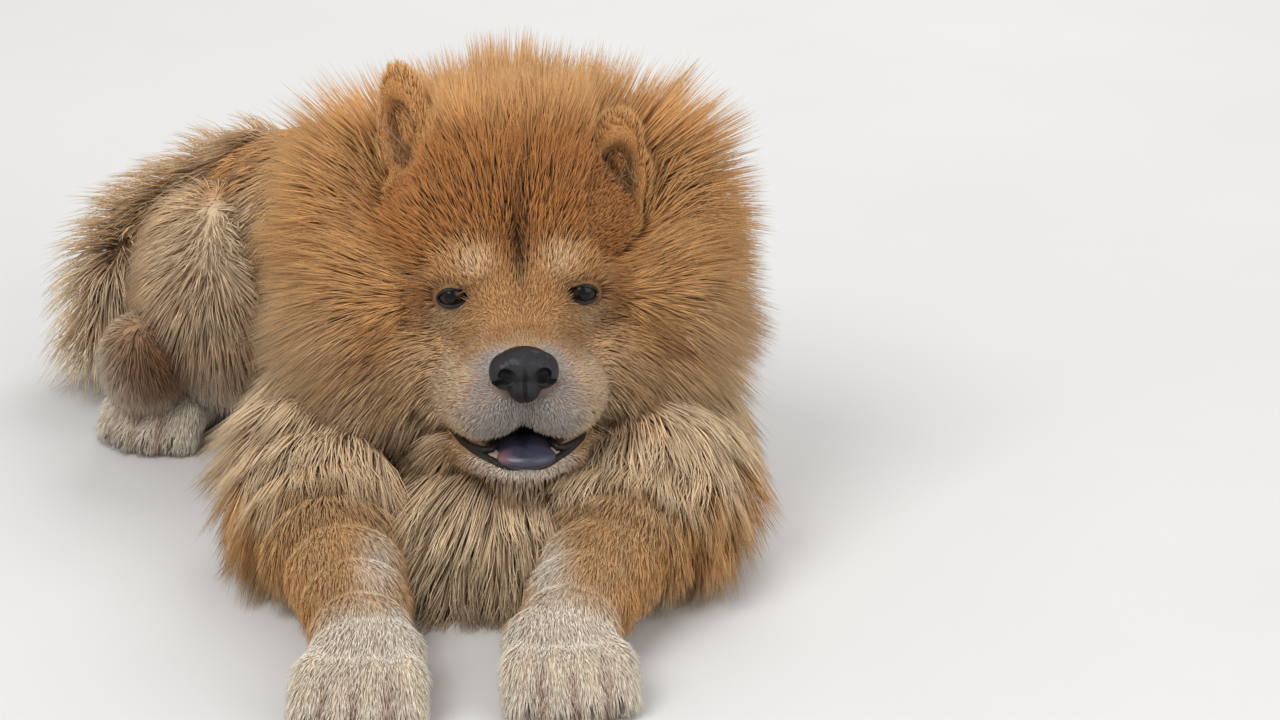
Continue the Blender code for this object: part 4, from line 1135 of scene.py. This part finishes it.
class CHOW_OT_eyes(bpy.types.Operator):
    """Makes the eyes and their dark lids"""

    bl_idname = "chow.eyes"
    bl_label = "Eyes"

    def execute(self, context):
        for name, side in SIDES.items():
            centre = head_point(eye_place(side))
            gaze = (HEAD.to_3x3() @ Vector((side * 0.05, -1.0, 0.0))).normalized()
            bm = bmesh.new()
            bmesh.ops.create_uvsphere(bm, u_segments=40, v_segments=28, radius=EYE_RADIUS)
            for vert in bm.verts:
                facing = vert.co.normalized().z
                vert.co *= 1.0 + 0.07 * max(0.0, (facing - 0.80) / 0.20) ** 0.8
            place = Matrix.Translation(centre) @ gaze.to_track_quat("Z", "Y").to_matrix().to_4x4()
            bmesh.ops.transform(bm, matrix=place, verts=bm.verts)
            mesh = bpy.data.meshes.new("eyeball_" + name)
            bm.to_mesh(mesh)
            bm.free()
            eye = mesh_object("eyeball_" + name, mesh)
            finish(eye, eye_look("eye_" + name, centre, gaze), "eye_brown")
            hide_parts("eye_" + name)
        lids = tubes("lid_rims", [self.rim(side, half) for side in SIDES.values() for half in (1, -1)])
        finish(lids, bare_look("lid_skin", context.scene.chow_colours.dark, 0.0012), "nose_leather")
        return {"FINISHED"}

    def rim(self, side, half):
        """The edge of the upper or lower lid over one eye: points with a thickness."""
        for i in range(15):
            turn = math.pi * i / 14
            u, v = math.cos(turn) * SLIT[0] * 1.06, half * math.sin(turn) * SLIT[2] * 0.98
            spot = eye_turn(side).to_matrix() @ Vector((u, 0.0, v))
            flat = spot.x ** 2 + spot.z ** 2
            spot.y = -math.sqrt(max(0.0, (EYE_RADIUS * 1.08) ** 2 - flat))
            yield head_point(eye_place(side) + spot), 0.0013 * (0.55 + 0.45 * math.sin(turn))


def tubes(name, lines, sides=8):
    """Round strips along lines of (point, radius), closed at both ends, as one mesh."""
    bm = bmesh.new()
    for line in lines:
        line = list(line)
        rings = []
        for i, (here, radius) in enumerate(line):
            ahead = (line[min(i + 1, len(line) - 1)][0] - line[max(i - 1, 0)][0]).normalized()
            side = ahead.orthogonal() if i == 0 else side - ahead * side.dot(ahead)
            side = side.normalized()
            above = ahead.cross(side)
            turns = [math.tau * k / sides for k in range(sides)]
            spokes = [side * math.cos(a) + above * math.sin(a) for a in turns]
            rings.append([bm.verts.new(here + spoke * radius) for spoke in spokes])
        bm.faces.new(rings[0][::-1])
        bm.faces.new(rings[-1])
        for near, far in zip(rings, rings[1:]):
            for i in range(sides):
                j = (i + 1) % sides
                bm.faces.new((near[i], near[j], far[j], far[i]))
    bmesh.ops.recalc_face_normals(bm, faces=bm.faces)
    mesh = bpy.data.meshes.new(name)
    bm.to_mesh(mesh)
    bm.free()
    return mesh_object(name, mesh)


def bare_look(name, colour, depth=0.0006, roughness=0.32, scale=1500.0):
    """Bare leather: fine pebbles in their own furrows, darker between them."""
    look = Look(name, Specular_IOR_Level=0.35, Coat_Roughness=0.18)
    cells = {"Vector": look.places(), "Scale": scale}
    edge = look.number("ShaderNodeTexVoronoi", {"feature": "DISTANCE_TO_EDGE"}, cells, "Distance")
    pebble = edge.within(0.0, 0.35)
    stain = look.noise(130.0, 3.0)
    pale = rgba(np.array(colour) * 1.7 + 0.002)
    pebbled = look.mix(pebble, rgba(np.array(colour) * 0.6), rgba(colour))
    look.out("Base Color", look.mix(stain * 0.8, pebbled, pale))
    look.out("Roughness", roughness + stain * 0.25)
    look.out("Coat Weight", stain * 0.3)
    look.bump(pebble, depth, 0.5)
    return look.material


# A nostril's opening and the slit that curls out from it, on the left: middles and radii
NOSTRIL = [
    ((0.0100, -0.001, -0.0012), (0.0044, 0.0100, 0.0058)),
    ((0.0150, 0.002, -0.0056), (0.0044, 0.0090, 0.0027)),
]


class CHOW_OT_nose(bpy.types.Operator):
    """Makes the nose leather, with its two nostrils and the groove between them"""

    bl_idname = "chow.nose"
    bl_label = "Nose"

    def execute(self, context):
        forms = [
            ellipsoid(HEAD, (0.0, 0.011, 0.003), (0.0178, 0.0130, 0.0122)),
            ellipsoid(HEAD, (0.0, 0.010, -0.008), (0.0105, 0.0100, 0.0116)),
            ellipsoid(HEAD, (0.0113, 0.011, 0.0), (0.0097, 0.0120, 0.0112)),
            ellipsoid(HEAD, (-0.0113, 0.011, 0.0), (0.0097, 0.0120, 0.0112)),
        ]
        nose = fused("nose_leather_form", forms, 0.0007, 5)
        places = places_of(nose.data)
        for side in SIDES.values():
            curl = Euler((0.0, side * math.radians(38), side * math.radians(-24)))
            for (x, y, z), radii in NOSTRIL:
                places = pressed(places, ellipsoid(HEAD, (side * x, y, z), radii, curl))
        local = applied(places, HEAD.inverted())
        x, y, z = local.T
        groove = np.exp(-((x / 0.0009) ** 2)) * (y < 0.012) * np.clip((0.006 - z) / 0.008, 0, 1)
        local[:, 1] += 0.0022 * groove
        move_to(nose.data, applied(local, HEAD))
        leather = bare_look("nose_skin", context.scene.chow_colours.leather, 0.0004, 0.30, 1300.0)
        finish(nose, leather, "nose_leather")
        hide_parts("nose")
        return {"FINISHED"}


# The tongue's body and tip: middle, radii and slope in degrees
TONGUE = [
    ((0.0, 0.050, -0.052), (0.019, 0.042, 0.007), 5),
    ((0.001, 0.018, -0.0545), (0.018, 0.012, 0.0065), 14),
]


class CHOW_OT_mouth(bpy.types.Operator):
    """Makes the tongue and the dark lips"""

    bl_idname = "chow.mouth"
    bl_label = "Tongue and lips"

    def execute(self, context):
        colours = context.scene.chow_colours
        forms = [
            ellipsoid(HEAD, centre, radii, Euler((math.radians(slope), 0.0, 0.0)))
            for centre, radii, slope in TONGUE
        ]
        tongue = fused("tongue_form", forms, 0.0009, 5)
        places = places_of(tongue.data)
        local = applied(places, HEAD.inverted())
        local[:, 2] -= 0.0016 * np.exp(-((local[:, 0] / 0.0028) ** 2)) * (local[:, 2] > -0.052)
        move_to(tongue.data, applied(local, HEAD))
        look = Look("tongue_skin", Coat_Roughness=0.12)
        fine = look.noise(1500.0, 2.0)
        broad = look.noise(90.0, 3.0)
        away = look.away_from(head_point((-0.017, 0.012, -0.052)))
        blue = look.mix(broad, rgba(np.array(colours.tongue) * 0.7), rgba(np.array(colours.tongue) * 1.5))
        look.out("Base Color", look.mix(away.within(0.002, 0.012), (0.170, 0.075, 0.085, 1.0), blue))
        look.out("Roughness", 0.28 + fine * 0.2)
        look.out("Coat Weight", 0.4 - broad * 0.3)
        look.bump(fine, 0.0003, 0.5)
        finish(tongue, look.material, "tongue_blue")
        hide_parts("tongue")
        places = np.linspace(-0.058, 0.058, 41)
        upper = [(x, np.interp(abs(x), *LIP_HEIGHTS), 0.0030 - abs(x) * 0.022) for x in places]
        lower = [(x, -0.0600 + 0.011 * (abs(x) / 0.040) ** 2, 0.0022) for x in np.linspace(-0.040, 0.040, 27)]
        skin = bpy.data.objects["skin"]
        lips = tubes("lips", [lip_line(skin, upper), lip_line(skin, lower)])
        finish(lips, bare_look("lip_skin", colours.dark, 0.0004, 0.35), "nose_leather")
        return {"FINISHED"}


def lip_line(skin, points):
    """A strip along points (across, up, radius) of the head's frame, laid on the skin from in front."""
    ahead = HEAD.to_3x3() @ Vector((0.0, 1.0, 0.0))
    for x, z, radius in points:
        hit, place, normal, _ = skin.ray_cast(head_point((x, -0.1, z)), ahead)
        if hit:
            yield place + normal * radius * 0.55, radius


# ---------------------------------------------------------------- whiskers, lashes, wisps and claws


# The inputs of the tree that stands bristles on points
BRISTLE_INPUTS = {
    "Length": "NodeSocketFloat",
    "Thickness": "NodeSocketFloat",
    "Point": "NodeSocketFloat",
    "Variation": "NodeSocketFloat",
    "Seed": "NodeSocketInt",
    "Material": "NodeSocketMaterial",
}


def bristle_tree():
    """A tree that stands a tapered bristle on each point, along its attribute "way"."""
    tree = bpy.data.node_groups.new("bristles_on_points", "GeometryNodeTree")
    tree.interface.new_socket("Geometry", in_out="INPUT", socket_type="NodeSocketGeometry")
    for name, kind in BRISTLE_INPUTS.items():
        tree.interface.new_socket(name, in_out="INPUT", socket_type=kind)
    tree.interface.new_socket("Geometry", in_out="OUTPUT", socket_type="NodeSocketGeometry")
    given = tree.nodes.new("NodeGroupInput").outputs

    def node(kind, values, **settings):
        """Adds a node: its settings, then the value or link of each socket, by name or number."""
        made = tree.nodes.new(kind)
        for key, value in settings.items():
            setattr(made, key, value)
        for key, value in values.items():
            if isinstance(value, bpy.types.NodeSocket):
                tree.links.new(value, made.inputs[key])
            else:
                made.inputs[key].default_value = value
        return made.outputs

    sizes = {"Radius Top": given["Point"], "Radius Bottom": given["Thickness"], "Depth": given["Length"]}
    cone = node("GeometryNodeMeshCone", {"Vertices": 8, "Side Segments": 4, **sizes})
    way = node("GeometryNodeInputNamedAttribute", {"Name": "way"}, data_type="FLOAT_VECTOR")
    turn = node("FunctionNodeAlignRotationToVector", {"Vector": way["Attribute"]}, axis="Z")
    least = node("ShaderNodeMath", {0: 1.0, 1: given["Variation"]}, operation="SUBTRACT")
    size = node("FunctionNodeRandomValue", {2: least["Value"], 3: 1.0, "Seed": given["Seed"]})
    places = {"Points": given["Geometry"], "Instance": cone["Mesh"]}
    stood = node("GeometryNodeInstanceOnPoints", {**places, "Rotation": turn["Rotation"], "Scale": size[1]})
    real = node("GeometryNodeRealizeInstances", {"Geometry": stood["Instances"]})
    coated = node("GeometryNodeSetMaterial", {"Geometry": real["Geometry"], "Material": given["Material"]})
    node("NodeGroupOutput", {"Geometry": coated["Geometry"]})
    return tree


def bristles(name, tree, rows, material, slot, length, thickness, point, variation):
    """Stands bristles at rows of (place, way), and finishes them as one plain mesh."""
    mesh = bpy.data.meshes.new(name)
    mesh.from_pydata([place for place, _ in rows], [], [])
    ways = [number for _, way in rows for number in way.normalized()]
    mesh.attributes.new("way", "FLOAT_VECTOR", "POINT").data.foreach_set("vector", ways)
    obj = mesh_object(name, mesh)
    modifier = obj.modifiers.new("bristles", "NODES")
    modifier.node_group = tree
    values = dict(zip(BRISTLE_INPUTS, (length, thickness, point, variation, SEED, material)))
    for item in tree.interface.items_tree:
        if item.name in values:
            modifier[item.identifier] = values[item.name]
    settle(obj)
    if "way" in obj.data.attributes:
        obj.data.attributes.remove(obj.data.attributes["way"])
    finish(obj, material, slot)


class CHOW_OT_bristles(bpy.types.Operator):
    """Stands the whiskers, lashes, ear wisps and claws"""

    bl_idname = "chow.bristles"
    bl_label = "Whiskers, lashes and claws"

    def execute(self, context):
        chance = np.random.default_rng(SEED + 1)
        tree = bristle_tree()
        skin = bpy.data.objects["skin"]
        turned = HEAD.to_3x3()
        colours = context.scene.chow_colours
        ahead = turned @ Vector((0.0, 1.0, 0.0))
        whiskers, lashes, wisps = [], [], []
        for side in SIDES.values():
            for row in range(3):
                for i in range(3):
                    spot = head_point((side * (0.024 + 0.008 * i), -0.1, -0.012 - 0.008 * row))
                    hit, place, normal, _ = skin.ray_cast(spot, ahead)
                    if hit:
                        way = normal + turned @ Vector((side * 0.6, -0.1, -0.3))
                        whiskers.append((place, way + Vector(chance.normal(0, 0.12, 3))))
            for i in range(11):
                turn = math.pi * (i + 1) / 12
                rim = Vector((math.cos(turn) * SLIT[0], -EYE_RADIUS, math.sin(turn) * SLIT[2]))
                spot = eye_turn(side).to_matrix() @ rim
                way = Vector((math.cos(turn) * 0.5, -1.0, 0.55)) + Vector(chance.normal(0, 0.1, 3))
                lashes.append((head_point(eye_place(side) + spot), turned @ way))
        for side, lean in (("r", 1.0), ("l", -1.0)):
            for i in range(16):
                spot = Vector((chance.uniform(-0.012, 0.012), -0.006, chance.uniform(-0.006, 0.020)))
                way = Vector((lean * chance.uniform(-0.3, 0.8), -0.5, chance.uniform(0.2, 0.9)))
                wisps.append((ear_frame(side) @ spot, ear_frame(side).to_3x3() @ way))
        hair = bare_look("bristle_hair", (0.42, 0.32, 0.22), 0.0001, 0.45, 900.0)
        black = bare_look("lash_hair", colours.dark, 0.0001, 0.45, 900.0)
        bristles("whiskers", tree, whiskers, hair, "cream_coat", 0.030, 0.00016, 0.00003, 0.5)
        bristles("ear_wisps", tree, wisps, hair, "cream_coat", 0.032, 0.00028, 0.00003, 0.6)
        bristles("lashes", tree, lashes, black, "nose_leather", 0.0055, 0.00022, 0.00003, 0.4)
        claws = []
        for name, (*_, width) in PAWS.items():
            paw = paw_frame(name)
            for toe in toe_lines(width):
                x, y, *_ = toe[-1]
                way = paw.to_3x3() @ Vector((0.0, -1.0, -0.55))
                claws.append((paw @ Vector((x, y - 0.0085, 0.0125)), way))
        horn = bare_look("claw_horn", (0.10, 0.075, 0.060), 0.0003, 0.35, 500.0)
        bristles("claws", tree, claws, horn, "paw_coat", 0.0115, 0.0030, 0.0007, 0.15)
        return {"FINISHED"}


# ---------------------------------------------------------------- floor, light and camera


def area_light(name, place, aim, size, power):
    light = bpy.data.lights.new(name, "AREA")
    light.size = size
    light.energy = power
    obj = bpy.data.objects.new(name, light)
    bpy.context.scene.collection.objects.link(obj)
    obj.location = place
    obj.rotation_euler = (Vector(aim) - Vector(place)).to_track_quat("-Z", "Y").to_euler()


class CHOW_OT_stage(bpy.types.Operator):
    """Sets up a plain floor, soft lights and the camera"""

    bl_idname = "chow.stage"
    bl_label = "Stage"

    def execute(self, context):
        scene = context.scene
        bm = bmesh.new()
        bmesh.ops.create_grid(bm, x_segments=8, y_segments=8, size=6.0)
        mesh = bpy.data.meshes.new("floor")
        bm.to_mesh(mesh)
        bm.free()
        floor = mesh_object("floor", mesh)
        look = Look("floor_paper", Roughness=0.9)
        look.out("Base Color", look.mix(look.noise(3.0), (0.62, 0.61, 0.59, 1.0), (0.68, 0.67, 0.65, 1.0)))
        mesh.materials.append(look.material)
        world = bpy.data.worlds.new("studio")
        scene.world = world
        world.use_nodes = True
        world.node_tree.nodes["Background"].inputs["Color"].default_value = (0.96, 0.97, 1.0, 1.0)
        world.node_tree.nodes["Background"].inputs["Strength"].default_value = 0.62
        area_light("key", (-1.1, -1.7, 2.3), (0.0, 0.0, 0.1), 1.6, 52.0)
        area_light("fill", (1.7, -1.5, 1.3), (0.0, 0.0, 0.1), 1.8, 18.0)
        area_light("rim", (0.5, 1.8, 1.9), (0.0, 0.0, 0.2), 1.4, 26.0)
        scene.view_settings.view_transform = "Standard"
        camera = bpy.data.cameras.new("camera")
        camera.lens = 106.2
        camera.sensor_width = 36.0
        eye = bpy.data.objects.new("camera", camera)
        scene.collection.objects.link(eye)
        eye.location = (0.125, -2.330, 0.972)
        eye.rotation_euler = (math.radians(69.0), 0.0, 0.0)
        scene.camera = eye
        return {"FINISHED"}


# ---------------------------------------------------------------- panel and registration


class CHOW_PT_panel(bpy.types.Panel):
    """Lists the steps that dress the dog"""

    bl_idname = "CHOW_PT_panel"
    bl_label = "Chow chow"
    bl_space_type = "VIEW_3D"
    bl_region_type = "UI"
    bl_category = "Chow chow"

    def draw(self, context):
        for group in (context.scene.chow_coat, context.scene.chow_colours):
            box = self.layout.box()
            for name in group.__annotations__:
                box.prop(group, name)
        for operator in OPERATORS:
            self.layout.operator(operator.bl_idname)


OPERATORS = (
    CHOW_OT_skin,
    CHOW_OT_coat,
    CHOW_OT_eyes,
    CHOW_OT_nose,
    CHOW_OT_mouth,
    CHOW_OT_bristles,
    CHOW_OT_stage,
)
CLASSES = (ChowCoatSettings, ChowColours, *OPERATORS, CHOW_PT_panel)


def register():
    for made in CLASSES:
        bpy.utils.register_class(made)
    bpy.types.Scene.chow_coat = bpy.props.PointerProperty(type=ChowCoatSettings)
    bpy.types.Scene.chow_colours = bpy.props.PointerProperty(type=ChowColours)


def unregister():
    del bpy.types.Scene.chow_coat
    del bpy.types.Scene.chow_colours
    for made in reversed(CLASSES):
        bpy.utils.unregister_class(made)


def main():
    register()
    bpy.ops.chow.skin()
    bpy.ops.chow.coat()
    bpy.ops.chow.eyes()
    bpy.ops.chow.nose()
    bpy.ops.chow.mouth()
    bpy.ops.chow.bristles()
    bpy.ops.chow.stage()


if __name__ == "__main__":
    main()
